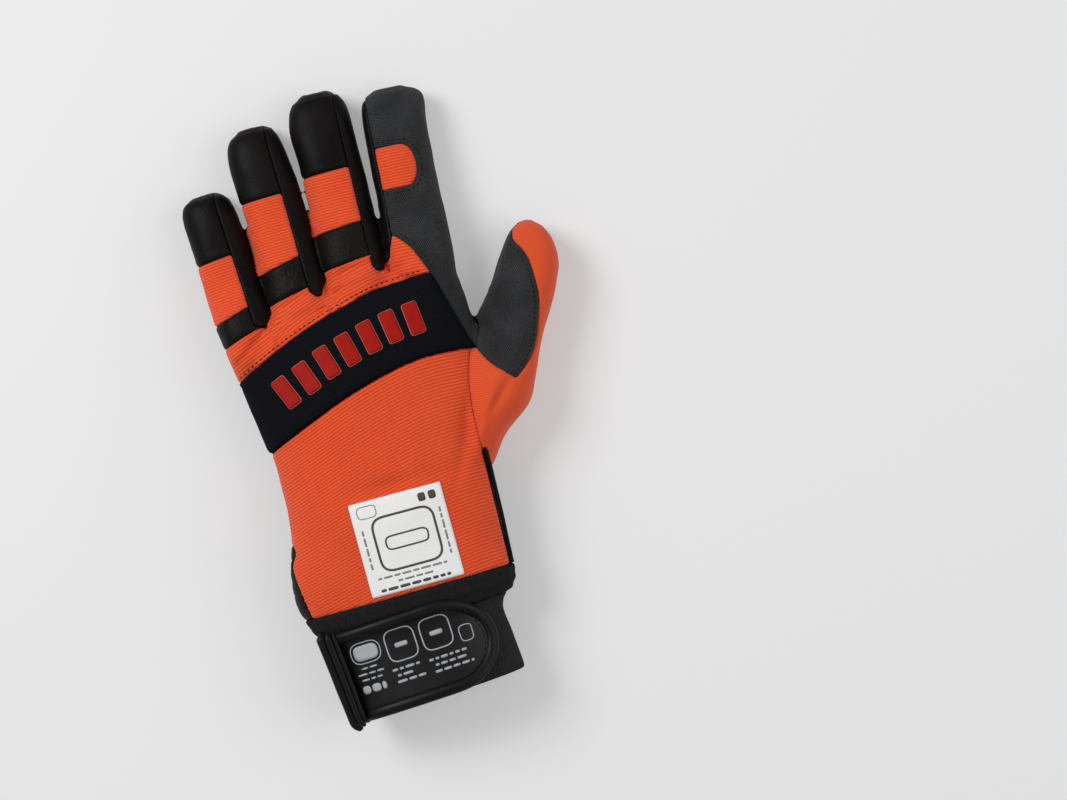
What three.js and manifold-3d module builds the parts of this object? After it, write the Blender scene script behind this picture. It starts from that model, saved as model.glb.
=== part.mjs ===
// A left-hand protective work glove, lying palm down with its back showing.
// Stretch knit covers the back, leather the palm and the finger sides, woven synthetic
// patches the grip, and a padded bar the knuckles. A hook strap closes the elastic cuff.
// Lengths are millimetres. +Y runs from the cuff to the fingertips, +X to the thumb side,
// and +Z up from the surface on which the glove lies.

import * as THREE from "three";
import { mergeVertices } from "three/addons/utils/BufferGeometryUtils.js";
import Module from "manifold-3d";

const wasm = await Module();
wasm.setup();

// Driving dimensions
const palmLength = 125; // wrist seam to the finger crotches
const palmWidth = 100; // across the knuckles
const palmDepth = 35; // palm to back of the hand, outside
const cuffLength = 45; // wrist seam to the open end
const thumbLength = 73; // root knuckle to tip
const thumbWidth = 27;
const thumbDepth = 24;
const fingerDepth = 20; // halfway along a finger, outside
const wall = 2.2; // cloth or leather with its lining
const seamGap = 0.3; // between neighbouring pieces
const barLift = 1.2; // how far the knuckle bar stands above the back
const padThickness = 1.7; // palm pads and grip patches
const labelThickness = 0.7;
const markThickness = 0.6; // rubber blocks on the knuckle bar
const strapThickness = 2.4;
const rimHeight = 1.0; // rolled edge of the strap above its face
const rimWidth = 4.2;
const foldWidth = 6.0; // sewn fold where the strap leaves the cuff
const weld = 0.02; // corners nearer than this are one corner

// The lowest leather lies this far above the surface, because the pads stand below it.
const restHeight = padThickness + seamGap;
const clear = 4 * palmLength; // a cutting solid reaches this far, past the whole glove

// Fingers. x and root say where each grows from the palm, as shares of its width and length.
// seam is the back seam on the thumb side, and inner the one on the other side, as shares of
// the half width. cap, and the band's two edges at its outer and inner ends, are shares of length.
const fingers = {
  little: {
    x: -0.42, root: 0.99, length: 61.5, width: 24, lean: 0,
    seam: 0.36, inner: -1.2, cap: 0.55, capRise: 0.015,
    band: [-0.07, 0.03], bandTop: [0.1, 0.2],
  },
  ring: {
    x: -0.172, root: 1.0, length: 81, width: 26, lean: 2.4,
    seam: 0.42, inner: -1.07, cap: 0.635, capRise: 0,
    band: [0.07, 0.135], bandTop: [0.235, 0.305],
  },
  middle: {
    x: 0.085, root: 1.0, length: 85.5, width: 26.4, lean: 5,
    seam: 0.58, inner: -1.07, cap: 0.62, capRise: 0.01,
    band: [0.14, 0.187], bandTop: [0.325, 0.36],
  },
  index: {
    x: 0.362, root: 0.99, length: 78.5, width: 27, lean: 7,
    seam: 1.3, inner: -0.78, cap: 0.72, capRise: 0,
    band: [0.1, 0.1], bandTop: [0.2, 0.2],
  },
};

// Finger sections. along is a share of the length, wide of the width, low and high of the depth.
const fingerSections = [
  { along: -0.3, wide: 0.8, low: 0.3, high: 1.1 },
  { along: 0.0, wide: 0.99, low: 0.14, high: 1.27 },
  { along: 0.22, wide: 1.04, low: 0.08, high: 1.16 },
  { along: 0.5, wide: 0.99, low: 0.02, high: 1.0 },
  { along: 0.75, wide: 0.98, low: -0.05, high: 0.93 },
  { along: 0.87, wide: 0.96, low: -0.05, high: 0.86 },
  { along: 0.94, wide: 0.88, low: 0.0, high: 0.77 },
  { along: 0.98, wide: 0.7, low: 0.08, high: 0.66 },
  { along: 1.0, wide: 0.42, low: 0.2, high: 0.52 },
];

// Palm and cuff sections. cuff and palm are shares of the two lengths, left and right of the
// width, low and high of the depth. A low below nought is pressed flat by the surface.
const palmSections = [
  { cuff: 1.5, palm: 0, left: -0.475, right: 0.24, low: 0.0, high: 0.9 },
  { cuff: 1.0, palm: 0, left: -0.478, right: 0.24, low: 0.0, high: 0.9 },
  { cuff: 0.62, palm: 0, left: -0.484, right: 0.238, low: 0.0, high: 0.88 },
  { cuff: 0.34, palm: 0, left: -0.497, right: 0.242, low: 0.0, high: 0.89 },
  { cuff: 0.27, palm: 0, left: -0.51, right: 0.3, low: -0.01, high: 0.93 },
  { cuff: 0.1, palm: 0, left: -0.548, right: 0.335, low: -0.03, high: 0.97 },
  { cuff: 0, palm: 0.06, left: -0.57, right: 0.34, low: -0.04, high: 0.99 },
  { cuff: 0, palm: 0.18, left: -0.565, right: 0.355, low: -0.04, high: 1.02 },
  { cuff: 0, palm: 0.3, left: -0.52, right: 0.37, low: -0.04, high: 1.04 },
  { cuff: 0, palm: 0.42, left: -0.495, right: 0.4, low: -0.04, high: 1.03 },
  { cuff: 0, palm: 0.56, left: -0.487, right: 0.45, low: -0.03, high: 1.0 },
  { cuff: 0, palm: 0.72, left: -0.493, right: 0.49, low: -0.03, high: 0.94 },
  { cuff: 0, palm: 0.85, left: -0.503, right: 0.497, low: 0.0, high: 0.87 },
  { cuff: 0, palm: 0.93, left: -0.522, right: 0.497, low: 0.04, high: 0.81 },
  { cuff: 0, palm: 0.98, left: -0.51, right: 0.49, low: 0.07, high: 0.76 },
  { cuff: 0, palm: 1.04, left: -0.42, right: 0.42, low: 0.22, high: 0.55 },
];

// Thumb sections. along and out are shares of the thumb's length and half width, measured from
// the root knuckle on the line to the tip. wide is a share of the width.
const thumbRoot = { x: 0.468, y: 0.55, lean: 32.4 };
const thumbSections = [
  { along: -0.4, out: -0.4, wide: 1.0, low: 0.02, high: 1.15 },
  { along: -0.19, out: -0.39, wide: 1.2, low: -0.03, high: 1.2 },
  { along: 0.0, out: 0.0, wide: 1.26, low: -0.03, high: 1.18 },
  { along: 0.18, out: 0.05, wide: 1.18, low: -0.03, high: 1.13 },
  { along: 0.38, out: 0.05, wide: 1.1, low: -0.02, high: 1.07 },
  { along: 0.6, out: 0.18, wide: 1.01, low: 0.0, high: 1.0 },
  { along: 0.8, out: 0.2, wide: 0.93, low: 0.03, high: 0.95 },
  { along: 0.9, out: 0.12, wide: 0.8, low: 0.08, high: 0.87 },
  { along: 0.97, out: 0.04, wide: 0.56, low: 0.18, high: 0.76 },
  { along: 1.0, out: 0.0, wide: 0.3, low: 0.3, high: 0.64 },
];

// The side seams run round the glove at this share of a section's height. Along the glove
// they follow these heights, as shares of the palm's and the fingers' depth.
const seamShare = 0.42;
const seamLine = [
  { cuff: 2, palm: 0, ofPalm: 0.86, ofFinger: 0 },
  { cuff: 0, palm: 0, ofPalm: 1, ofFinger: 0 },
  { cuff: 0, palm: 0.8, ofPalm: 0.9, ofFinger: 0 },
  { cuff: 0, palm: 1, ofPalm: 0, ofFinger: 1.35 },
  { cuff: 0, palm: 1.35, ofPalm: 0, ofFinger: 1 },
  { cuff: 0, palm: 2.5, ofPalm: 0, ofFinger: 0.85 },
];

// Soft folds pressed into the form or raised from it. x and y are shares of the palm, reach
// runs across the fold and run along it, turned from +X by angle, and lift is how far it rises.
const folds = [
  { name: "web valley", x: 0.55, y: 0.72, reach: 4, run: 16, angle: -66, lift: -4.5 },
  { name: "ruffle by the little finger", x: -0.5, y: 0.93, reach: 3.5, run: 7, angle: 10, lift: 1.6 },
  { name: "dip below the ruffle", x: -0.5, y: 0.86, reach: 3, run: 8, angle: 15, lift: -0.9 },
  { name: "gather below the ring finger", x: -0.2, y: 1.0, reach: 3, run: 9, angle: 8, lift: -1.3 },
  { name: "gather below the middle finger", x: 0.07, y: 1.04, reach: 3, run: 10, angle: 2, lift: -1.3 },
  { name: "hollow at the wrist", x: -0.1, y: -0.1, reach: 7, run: 45, angle: -2, lift: -1.5 },
];

// Sides round each tube: of the outer surface and of the hollow inside.
const outerSides = { palm: 20, finger: 10, thumb: 10 };
const hollowSides = { palm: 16, finger: 8, thumb: 8 };

// Edges on the back, as shares of the palm's width and length.
const barTop = [
  { x: -0.7, y: 0.79 },
  { x: -0.5, y: 0.852 },
  { x: -0.3, y: 0.914 },
  { x: -0.1, y: 0.962 },
  { x: 0.1, y: 0.994 },
  { x: 0.25, y: 1.001 },
  { x: 0.392, y: 0.996 },
];
const barBottom = [
  { x: -0.7, y: 0.535 },
  { x: -0.49, y: 0.588 },
  { x: -0.3, y: 0.638 },
  { x: -0.1, y: 0.688 },
  { x: 0.1, y: 0.722 },
  { x: 0.25, y: 0.733 },
  { x: 0.4, y: 0.722 },
  { x: 0.468, y: 0.714 },
];
const thumbSeam = [
  { x: 0.45, y: 0.714 },
  { x: 0.41, y: 0.632 },
  { x: 0.385, y: 0.552 },
  { x: 0.37, y: 0.472 },
  { x: 0.36, y: 0.384 },
];
const sideSeam = [
  { x: 0.36, y: 0.384 },
  { x: 0.352, y: 0.296 },
  { x: 0.342, y: 0.176 },
  { x: 0.333, y: 0.056 },
  { x: 0.331, y: -0.02 },
];
const outerSeam = [
  { x: -0.541, y: 0.0 },
  { x: -0.555, y: 0.176 },
  { x: -0.545, y: 0.216 },
  { x: -0.52, y: 0.264 },
  { x: -0.6, y: 0.36 },
];
const indexSeam = [
  { x: 0.392, y: 0.996 },
  { x: 0.37, y: 1.052 },
  { x: 0.348, y: 1.096 },
  { x: 0.31, y: 1.138 },
  { x: 0.275, y: 1.164 },
];
// The leaf-shaped patch between thumb and index finger, along and across the thumb.
const leafSeam = [
  { along: 0.97, side: -0.62 },
  { along: 0.89, side: -0.5 },
  { along: 0.85, side: -0.13 },
  { along: 0.8, side: 0.16 },
  { along: 0.71, side: 0.48 },
  { along: 0.6, side: 0.78 },
  { along: 0.47, side: 0.94 },
  { along: 0.37, side: 1.03 },
  { along: 0.29, side: 1.02 },
  { along: 0.2, side: 0.89 },
  { along: 0.12, side: 0.7 },
];
const leafFoot = [
  { along: 0.144, side: 0.23 },
  { along: 0.171, side: -0.22 },
  { along: 0.21, side: -0.58 },
  { along: 0.236, side: -0.79 },
];
const wristSeam = { outer: -0.008, inner: -0.016 }; // shares of the palm length at the two sides
const bandFoot = 0.29; // where the elastic band ends and the cuff begins, a share of cuffLength

// Palm pads, as shares of the palm's width and length.
const heelPadOuter = [
  { x: -0.43, y: 0.7 }, { x: -0.13, y: 0.7 }, { x: -0.1, y: 0.66 }, { x: -0.15, y: 0.56 },
  { x: -0.19, y: 0.46 }, { x: -0.205, y: 0.32 }, { x: -0.215, y: 0.22 }, { x: -0.27, y: 0.155 },
  { x: -0.38, y: 0.16 }, { x: -0.44, y: 0.24 }, { x: -0.46, y: 0.4 }, { x: -0.45, y: 0.6 },
];
const heelPadInner = [
  { x: -0.03, y: 0.71 }, { x: 0.2, y: 0.7 }, { x: 0.34, y: 0.685 }, { x: 0.36, y: 0.62 },
  { x: 0.35, y: 0.5 }, { x: 0.3, y: 0.36 }, { x: 0.26, y: 0.22 }, { x: 0.18, y: 0.16 },
  { x: 0.05, y: 0.135 }, { x: -0.1, y: 0.135 }, { x: -0.13, y: 0.18 }, { x: -0.115, y: 0.34 },
  { x: -0.07, y: 0.5 }, { x: -0.045, y: 0.6 },
];
const upperPadFoot = [
  { x: 0.4, y: 0.84 }, { x: 0.375, y: 0.765 }, { x: 0.32, y: 0.735 }, { x: 0.1, y: 0.75 },
  { x: -0.15, y: 0.76 }, { x: -0.43, y: 0.755 }, { x: -0.455, y: 0.8 }, { x: -0.45, y: 0.88 },
];
const lobeReach = 0.2; // how far the pad's lobes run up the ring and middle fingers, share of length

const strapOutline = { foot: 1.03, top: 0.21, tip: 0.17 }; // shares of cuffLength, and of palmWidth
const labelOutline = [
  { x: -0.25, y: 0.336 },
  { x: -0.27, y: 0.012 },
  { x: 0.123, y: -0.014 + 0.01 },
  { x: 0.145, y: 0.318 },
];
const markCount = 7;
const markSize = { wide: 6.2, tall: 13.5 };

// The height of an edge on the back at any place across the hand, both as shares.
function edgeAt(edge, x) {
  const i = edge.findIndex((spot) => spot.x > x);
  const [a, b] = [edge[i - 1], edge[i]];
  return THREE.MathUtils.mapLinear(x, a.x, b.x, a.y, b.y);
}

// Where a share of the palm lies in the plan.
const palmSpot = ({ x, y }) => new THREE.Vector2(x * palmWidth, y * palmLength);

// Where a share of a finger's length and half width lies in the plan.
function fingerSpot(finger, along, side) {
  const lean = THREE.MathUtils.degToRad(finger.lean);
  const root = palmSpot({ x: finger.x, y: finger.root });
  const out = (side * finger.width) / 2;
  const up = along * finger.length;
  return new THREE.Vector2(
    root.x + up * Math.sin(lean) + out * Math.cos(lean),
    root.y + up * Math.cos(lean) - out * Math.sin(lean),
  );
}

// The same on the thumb.
function thumbSpot({ along, side }) {
  const lean = THREE.MathUtils.degToRad(thumbRoot.lean);
  const root = palmSpot(thumbRoot);
  const out = (side * thumbWidth) / 2;
  const up = along * thumbLength;
  return new THREE.Vector2(
    root.x + up * Math.sin(lean) + out * Math.cos(lean),
    root.y + up * Math.cos(lean) - out * Math.sin(lean),
  );
}

// How far the folds lift the form at a place in the plan.
function foldLift(x, y) {
  let lift = 0;
  for (const fold of folds) {
    const centre = palmSpot(fold);
    const turn = THREE.MathUtils.degToRad(fold.angle);
    const [dx, dy] = [x - centre.x, y - centre.y];
    const run = (dx * Math.cos(turn) + dy * Math.sin(turn)) / fold.run;
    const reach = (dy * Math.cos(turn) - dx * Math.sin(turn)) / fold.reach;
    lift += fold.lift * Math.exp(-run * run - reach * reach);
  }
  return lift;
}

// A closed tube through a table's rows, shaped by a function of the row, the angle round the
// tube and the share of its radius: a cylinder whose points are moved and welded into a solid.
function tubeThrough(rows, sides, pointAt) {
  const last = rows.length - 1;
  const tube = new THREE.CylinderGeometry(1, 1, 1, sides, last);
  const spots = tube.getAttribute("position");
  for (let i = 0; i < spots.count; i += 1) {
    const [x, up, z] = [spots.getX(i), spots.getY(i), spots.getZ(i)];
    const row = rows[Math.round((up + 0.5) * last)];
    spots.setXYZ(i, ...pointAt(row, Math.atan2(z, x), Math.hypot(x, z)));
  }
  return solidOf(tube);
}

// A mesh geometry as a solid that can be joined and cut.
function solidOf(geometry) {
  geometry.deleteAttribute("normal");
  geometry.deleteAttribute("uv");
  const merged = mergeVertices(geometry, 1e-4);
  const solid = new wasm.Manifold(
    new wasm.Mesh({
      numProp: 3,
      vertProperties: merged.getAttribute("position").array,
      triVerts: new Uint32Array(merged.index.array),
    }),
  );
  return solid;
}

// One point of a rounded section: flatter than an ellipse below, rounder above.
function sectionPoint(angle, radius, half, low, middle, high) {
  const flatness = Math.sin(angle) < 0 ? 2.9 : 2.35;
  const bend = (value) => Math.sign(value) * Math.abs(value) ** (2 / flatness);
  const rise = bend(Math.sin(angle));
  return {
    out: radius * half * bend(Math.cos(angle)),
    up: middle + radius * rise * (rise < 0 ? middle - low : high - middle),
  };
}


// The heights of a section, grown outwards by a length.
function sectionHeights({ low, high }, depth, grow) {
  const [bottom, top] = [restHeight + low * depth, restHeight + high * depth];
  return [bottom - grow, bottom + seamShare * (top - bottom), top + grow];
}

// The palm and cuff, grown outwards by a length. The form runs on past the cuff's open end.
function palmForm(grow, sides) {
  return tubeThrough(palmSections, sides, (row, angle, radius) => {
    const end = row === palmSections.at(-1) ? grow : 0;
    const y = row.palm * palmLength - row.cuff * cuffLength + end;
    const half = ((row.right - row.left) * palmWidth) / 2 + grow;
    const heights = sectionHeights(row, palmDepth, grow);
    const spot = sectionPoint(angle, radius, half, ...heights);
    const x = ((row.left + row.right) * palmWidth) / 2 + spot.out;
    const lift = spot.up > heights[1] ? foldLift(x, y) : 0;
    return [x, y, spot.up + lift];
  });
}

// A digit's tube: spotAt gives the plan from the share along and the distance across.
function digitForm(rows, sides, size, grow, spotAt) {
  return tubeThrough(rows, sides, (row, angle, radius) => {
    const half = (row.wide * size.width) / 2 + grow;
    const heights = sectionHeights(row, size.depth, grow);
    const section = sectionPoint(angle, radius, half, ...heights);
    const along = row.along + (grow / size.length) * Math.max(0, row.along);
    const spot = spotAt(along, (row.out ?? 0) + section.out / (size.width / 2));
    const lift = section.up > heights[1] ? foldLift(spot.x, spot.y) : 0;
    return [spot.x, spot.y, section.up + lift];
  });
}

// One finger, grown outwards by a length.
function fingerForm(finger, grow, sides) {
  const size = { length: finger.length, width: finger.width, depth: fingerDepth };
  const spotAt = (along, side) => fingerSpot(finger, along, side);
  return digitForm(fingerSections, sides, size, grow, spotAt);
}

// The thumb, grown outwards by a length.
function thumbForm(grow, sides) {
  const size = { length: thumbLength, width: thumbWidth, depth: thumbDepth };
  const spotAt = (along, side) => thumbSpot({ along, side });
  return digitForm(thumbSections, sides, size, grow, spotAt);
}

// A box as a solid, between two corners.
function boxSolid(low, high) {
  const size = high.map((value, i) => value - low[i]);
  const box = new THREE.BoxGeometry(...size);
  box.translate(...low.map((value, i) => value + size[i] / 2));
  return solidOf(box);
}

// The whole hand form, grown outwards by a length and flattened where it rests.
function handForm(grow, sides = outerSides) {
  let form = palmForm(grow, sides.palm).add(thumbForm(grow, sides.thumb));
  for (const finger of Object.values(fingers)) {
    form = form.add(fingerForm(finger, grow, sides.finger));
  }
  return form.subtract(boxSolid([-clear, -clear, -clear], [clear, clear, restHeight - grow]));
}

// A vertical prism over an outline in the plan.
function prism(outline) {
  const shape = new THREE.Shape(outline);
  const body = new THREE.ExtrudeGeometry(shape, { depth: 2 * clear, bevelEnabled: false });
  body.translate(0, 0, -clear);
  return solidOf(body);
}

// An outline moved outwards by a length, or inwards by a negative one.
function grown(outline, distance) {
  const turn = THREE.ShapeUtils.isClockWise(outline) ? -1 : 1;
  const count = outline.length;
  return outline.map((point, i) => {
    const before = point.clone().sub(outline[(i + count - 1) % count]).normalize();
    const after = outline[(i + 1) % count].clone().sub(point).normalize();
    const normal = new THREE.Vector2(before.y + after.y, -before.x - after.x).normalize();
    const spread = Math.max(0.4, normal.x * after.y - normal.y * after.x);
    return point.clone().addScaledVector(normal, (turn * distance) / spread);
  });
}

// The space above or below the side seams, which follow the sections' seam height. reach is
// how far it runs on past them.
function halfSpace(above, reach) {
  const shift = restHeight + (above ? -reach : reach);
  const edge = seamLine.map((row) => {
    const z = seamShare * (row.ofPalm * palmDepth + row.ofFinger * fingerDepth);
    return new THREE.Vector2(row.palm * palmLength - row.cuff * cuffLength, z + shift);
  });
  const far = above ? clear : -clear;
  const outline = [...edge, new THREE.Vector2(edge.at(-1).x, far), new THREE.Vector2(edge[0].x, far)];
  const shape = new THREE.Shape(outline);
  const body = new THREE.ExtrudeGeometry(shape, { depth: 2 * clear, bevelEnabled: false });
  body.translate(0, 0, -clear);
  // The outline's two axes become Y and Z, and the extrusion runs along X.
  body.applyMatrix4(new THREE.Matrix4().set(0, 0, 1, 0, 1, 0, 0, 0, 0, 1, 0, 0, 0, 0, 0, 1));
  return solidOf(body);
}

const pastCuff = boxSolid([-clear, -clear, -clear], [clear, -cuffLength, clear]);
const skin = handForm(0).subtract(pastCuff);
const cavity = handForm(-wall, hollowSides);
const lifted = handForm(barLift).subtract(pastCuff);
const halves = {
  upper: { 0: halfSpace(true, 0), [seamGap]: halfSpace(true, seamGap) },
  lower: { 0: halfSpace(false, 0), [seamGap]: halfSpace(false, seamGap) },
};

// The largest body of a solid: what a cut leaves loose beside it is waste.
function largestBody(solid) {
  const bodies = solid.decompose();
  return bodies.reduce((best, body) => (body.volume() > best.volume() ? body : best));
}

// What is left of the cloth while panels are cut from it, and where it has been cut away.
let cloth = skin.subtract(cavity);
let waste = pastCuff;

// Cuts a panel out of the cloth. Each outline takes the cloth above the side seams, below them
// or both, and a seam's gap is left round it.
function cutPanel(outlines, outside = skin) {
  const zone = (distance) =>
    outlines
      .map(({ outline, side }) => {
        const cutter = prism(grown(outline, distance));
        return side ? cutter.intersect(halves[side][distance]) : cutter;
      })
      .reduce((all, one) => all.add(one));
  const inside = zone(0);
  const raised = outside === skin ? cloth : outside.subtract(cavity);
  const panel = largestBody(raised.intersect(inside).subtract(waste));
  waste = waste.add(zone(seamGap));
  cloth = cloth.subtract(zone(seamGap));
  return panel;
}

// A layer that lies on the glove: between two heights over its surface, inside an outline.
function layer(outline, bottom, thickness, side) {
  const shell = handForm(bottom + thickness).subtract(handForm(bottom));
  return largestBody(shell.intersect(prism(outline)).intersect(halves[side][0]));
}

const group = new THREE.Group();
const materials = {
  knit: new THREE.MeshStandardMaterial({ color: 0xf4471f, roughness: 0.85, metalness: 0 }),
  leather: new THREE.MeshStandardMaterial({ color: 0x171514, roughness: 0.55, metalness: 0 }),
  grip: new THREE.MeshStandardMaterial({ color: 0x26272a, roughness: 0.7, metalness: 0 }),
  neoprene: new THREE.MeshStandardMaterial({ color: 0x07080d, roughness: 0.8, metalness: 0 }),
  elastic: new THREE.MeshStandardMaterial({ color: 0x161616, roughness: 0.9, metalness: 0 }),
  strap: new THREE.MeshStandardMaterial({ color: 0x1a1b1e, roughness: 0.5, metalness: 0 }),
  rubber: new THREE.MeshStandardMaterial({ color: 0xc81a10, roughness: 0.5, metalness: 0 }),
  label: new THREE.MeshStandardMaterial({ color: 0xe9e9e9, roughness: 0.6, metalness: 0 }),
};

// A solid's surface as a mesh geometry.
function geometryOf(solid) {
  const { numProp, numVert, vertProperties, triVerts } = solid.getMesh();
  const spots = new Float32Array(numVert * 3);
  for (let i = 0; i < numVert; i += 1) {
    spots.set(vertProperties.subarray(i * numProp, i * numProp + 3), i * 3);
  }
  const geometry = new THREE.BufferGeometry();
  geometry.setAttribute("position", new THREE.BufferAttribute(spots, 3));
  geometry.setIndex(new THREE.BufferAttribute(new Uint32Array(triVerts), 1));
  return geometry;
}

// Adds a solid to the glove as a named mesh. Corners closer than the weld become one, so that
// no sliver stays where two cuts cross.
function addPiece(name, solid, material) {
  const rough = geometryOf(solid);
  const spots = rough.getAttribute("position").array;
  spots.forEach((value, i) => {
    spots[i] = Math.round(value / weld) * weld;
  });
  const geometry = geometryOf(largestBody(solidOf(rough)));
  geometry.computeVertexNormals();
  const mesh = new THREE.Mesh(geometry, material);
  mesh.name = name;
  group.add(mesh);
}

// The cuff and the elastic band above it are rings of knit, cut straight across.
function addCuff() {
  const foot = -bandFoot * cuffLength;
  const across = (y0, y1) => [
    new THREE.Vector2(-palmWidth, y0[0]), new THREE.Vector2(palmWidth, y0[1]),
    new THREE.Vector2(palmWidth, y1[1]), new THREE.Vector2(-palmWidth, y1[0]),
  ];
  const top = [wristSeam.outer * palmLength, wristSeam.inner * palmLength];
  const past = -2 * cuffLength;
  addPiece("cuff", cutPanel([{ outline: across([past, past], [foot, foot]) }]), materials.elastic);
  addPiece("wrist_band", cutPanel([{ outline: across([foot, foot], top) }]), materials.elastic);
}

// The gusset of one gap runs down one finger's side, round the crotch and up the next.
function addGusset(near, far) {
  const [a, b] = [fingers[near], fingers[far]];
  const edge = (finger, side, places) => places.map((along) => fingerSpot(finger, along, side));
  const tip = 1.15;
  const foot = { little: 0.0, ring: 0.05, middle: 0.085 }[near];
  const open = [
    ...edge(a, a.seam, [tip, 0.9, 0.5, foot - 0.05]),
    ...edge(b, Math.max(b.inner, -0.97), [foot - 0.01]),
    ...edge(b, b.inner, [0.2, 0.5, 0.9, tip]),
  ];
  const under = [
    ...edge(a, 0.72, [tip, 0.5, -0.03]),
    ...edge(b, -0.74, [-0.03, 0.5, tip]),
  ];
  const panel = cutPanel([{ outline: open, side: "upper" }, { outline: under, side: "lower" }]);
  addPiece("gusset_" + near + "_" + far, panel, materials.leather);
}

// The back of one finger: a leather cap, a knit panel and a leather band over the knuckle.
function addFingerBack(name) {
  const finger = fingers[name];
  const outer = -1.6;
  const inner = finger.seam + 0.3;
  const slice = (from, to) => [
    fingerSpot(finger, from[0], outer),
    fingerSpot(finger, from[1], inner),
    fingerSpot(finger, to[1], inner),
    fingerSpot(finger, to[0], outer),
  ];
  const cap = [finger.cap, finger.cap + finger.capRise];
  const zone = (from, to) => [{ outline: slice(from, to), side: "upper" }];
  addPiece("cap_" + name, cutPanel(zone(cap, [1.2, 1.2])), materials.leather);
  addPiece("back_" + name, cutPanel(zone(finger.bandTop, cap)), materials.knit);
  addPiece("band_" + name, cutPanel(zone(finger.band, finger.bandTop)), materials.leather);
}

// The padded bar over the knuckles, with a row of plain rubber blocks.
function addKnuckleBar() {
  const outline = [...barTop, ...[...barBottom].reverse()].map(palmSpot);
  addPiece("knuckle_bar", cutPanel([{ outline, side: "upper" }], lifted), materials.neoprene);
  const half = new THREE.Vector2(markSize.wide / 2, markSize.tall / 2);
  for (let i = 0; i < markCount; i += 1) {
    const x = -0.335 + (i * 0.6) / (markCount - 1);
    const centre = palmSpot({ x, y: (edgeAt(barTop, x) + edgeAt(barBottom, x)) / 2 });
    const turn = THREE.MathUtils.degToRad(20 - 17 * (i / (markCount - 1)));
    const block = [[-1, -1], [1, -1], [1, 1], [-1, 1]].map(([u, v]) =>
      new THREE.Vector2(u * half.x, v * half.y).rotateAround(new THREE.Vector2(), turn).add(centre),
    );
    const bottom = barLift + seamGap;
    addPiece("mark_" + (i + 1), layer(block, bottom, markThickness, "upper"), materials.rubber);
  }
}

// The knit strip between the bar and the fingers, and the large panel behind the bar.
function addBackPanels() {
  const strip = [
    ...barTop,
    ...indexSeam,
    { x: 0.2, y: 1.3 },
    { x: -0.7, y: 1.3 },
  ].map(palmSpot);
  addPiece("knuckle_strip", cutPanel([{ outline: strip, side: "upper" }]), materials.knit);
  const back = [
    ...[...barBottom].slice(0, -1),
    ...thumbSeam,
    ...sideSeam,
    { x: -0.541, y: wristSeam.outer - 0.02 },
    ...outerSeam,
  ].map(palmSpot);
  addPiece("back_panel", cutPanel([{ outline: back, side: "upper" }]), materials.knit);
}

// The knit back of the thumb, and the leaf-shaped patch between thumb and index finger.
function addThumb() {
  const leaf = [...leafSeam, ...leafFoot].map(thumbSpot);
  const over = [
    ...[...leafFoot].reverse().map(thumbSpot),
    ...[...leafSeam].reverse().map(thumbSpot),
    ...[{ along: 1.3, side: -0.6 }, { along: 1.3, side: 3 }, { along: -0.6, side: 4 }].map(thumbSpot),
    ...[{ x: 0.43, y: 0.33 }, { x: 0.385, y: 0.37 }, { x: 0.36, y: 0.384 }].map(palmSpot),
    ...[...thumbSeam].reverse().slice(1).map(palmSpot),
  ];
  const under = [
    { along: 1.3, side: 0.2 }, { along: 0.93, side: 0.45 }, { along: 0.8, side: 0.7 },
    { along: 0.4, side: 0.72 }, { along: 0.1, side: 0.8 }, { along: -0.25, side: 0.6 },
    { along: -0.4, side: 0.8 }, { along: -0.45, side: 3 }, { along: 1.3, side: 3 },
  ].map(thumbSpot);
  const back = cutPanel([{ outline: over, side: "upper" }, { outline: under, side: "lower" }]);
  addPiece("thumb_back", back, materials.knit);
  const webbed = [
    ...leaf,
    ...[{ x: 0.51, y: 0.78 }, { x: 0.505, y: 0.9 }].map(palmSpot),
    thumbSpot({ along: 0.7, side: -2 }),
  ];
  addPiece("thumb_leaf", cutPanel([{ outline: webbed, side: "upper" }]), materials.grip);
}

// The woven synthetic that wraps the index finger, with its knit window and two leather slots.
function addIndexFinger() {
  const finger = fingers.index;
  const at = (along, side) => fingerSpot(finger, along, side);
  const windowArc = [-90, -60, -30, 0, 30, 60, 90].map((degrees) => {
    const turn = THREE.MathUtils.degToRad(degrees);
    return at(0.61 + 0.115 * Math.sin(turn), 0.05 + 0.42 * Math.cos(turn));
  });
  const outline = [at(0.495, -1.4), ...windowArc, at(0.725, -1.4)];
  addPiece("index_window", cutPanel([{ outline, side: "upper" }]), materials.knit);
  for (const [name, along] of [["slot_upper", 0.575], ["slot_lower", 0.3]]) {
    const slot = [at(along - 0.035, -1.2), at(along - 0.035, 0.5), at(along, 0.62),
      at(along + 0.035, 0.5), at(along + 0.035, -1.2)];
    addPiece("index_" + name, cutPanel([{ outline: slot, side: "lower" }]), materials.leather);
  }
  const over = [
    ...indexSeam.map(palmSpot),
    at(0.3, -1.6), at(1.25, -1.6), at(1.25, 2.2), at(0, 2.2),
    ...[{ x: 0.53, y: 0.9 }, { x: 0.502, y: 0.8 }, { x: 0.51, y: 0.77 }, { x: 0.47, y: 0.714 }].map(palmSpot),
  ];
  const under = [
    at(1.25, -1.6), at(0.05, -1.6), at(-0.02, -0.6),
    ...[{ x: 0.36, y: 0.92 }, { x: 0.41, y: 0.85 }, { x: 0.42, y: 0.76 }, { x: 0.53, y: 0.79 },
      { x: 0.53, y: 0.9 }].map(palmSpot),
    at(0, 2.2), at(1.25, 2.2),
  ];
  const wrap = cutPanel([{ outline: over, side: "upper" }, { outline: under, side: "lower" }]);
  addPiece("index_wrap", wrap, materials.grip);
}

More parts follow.
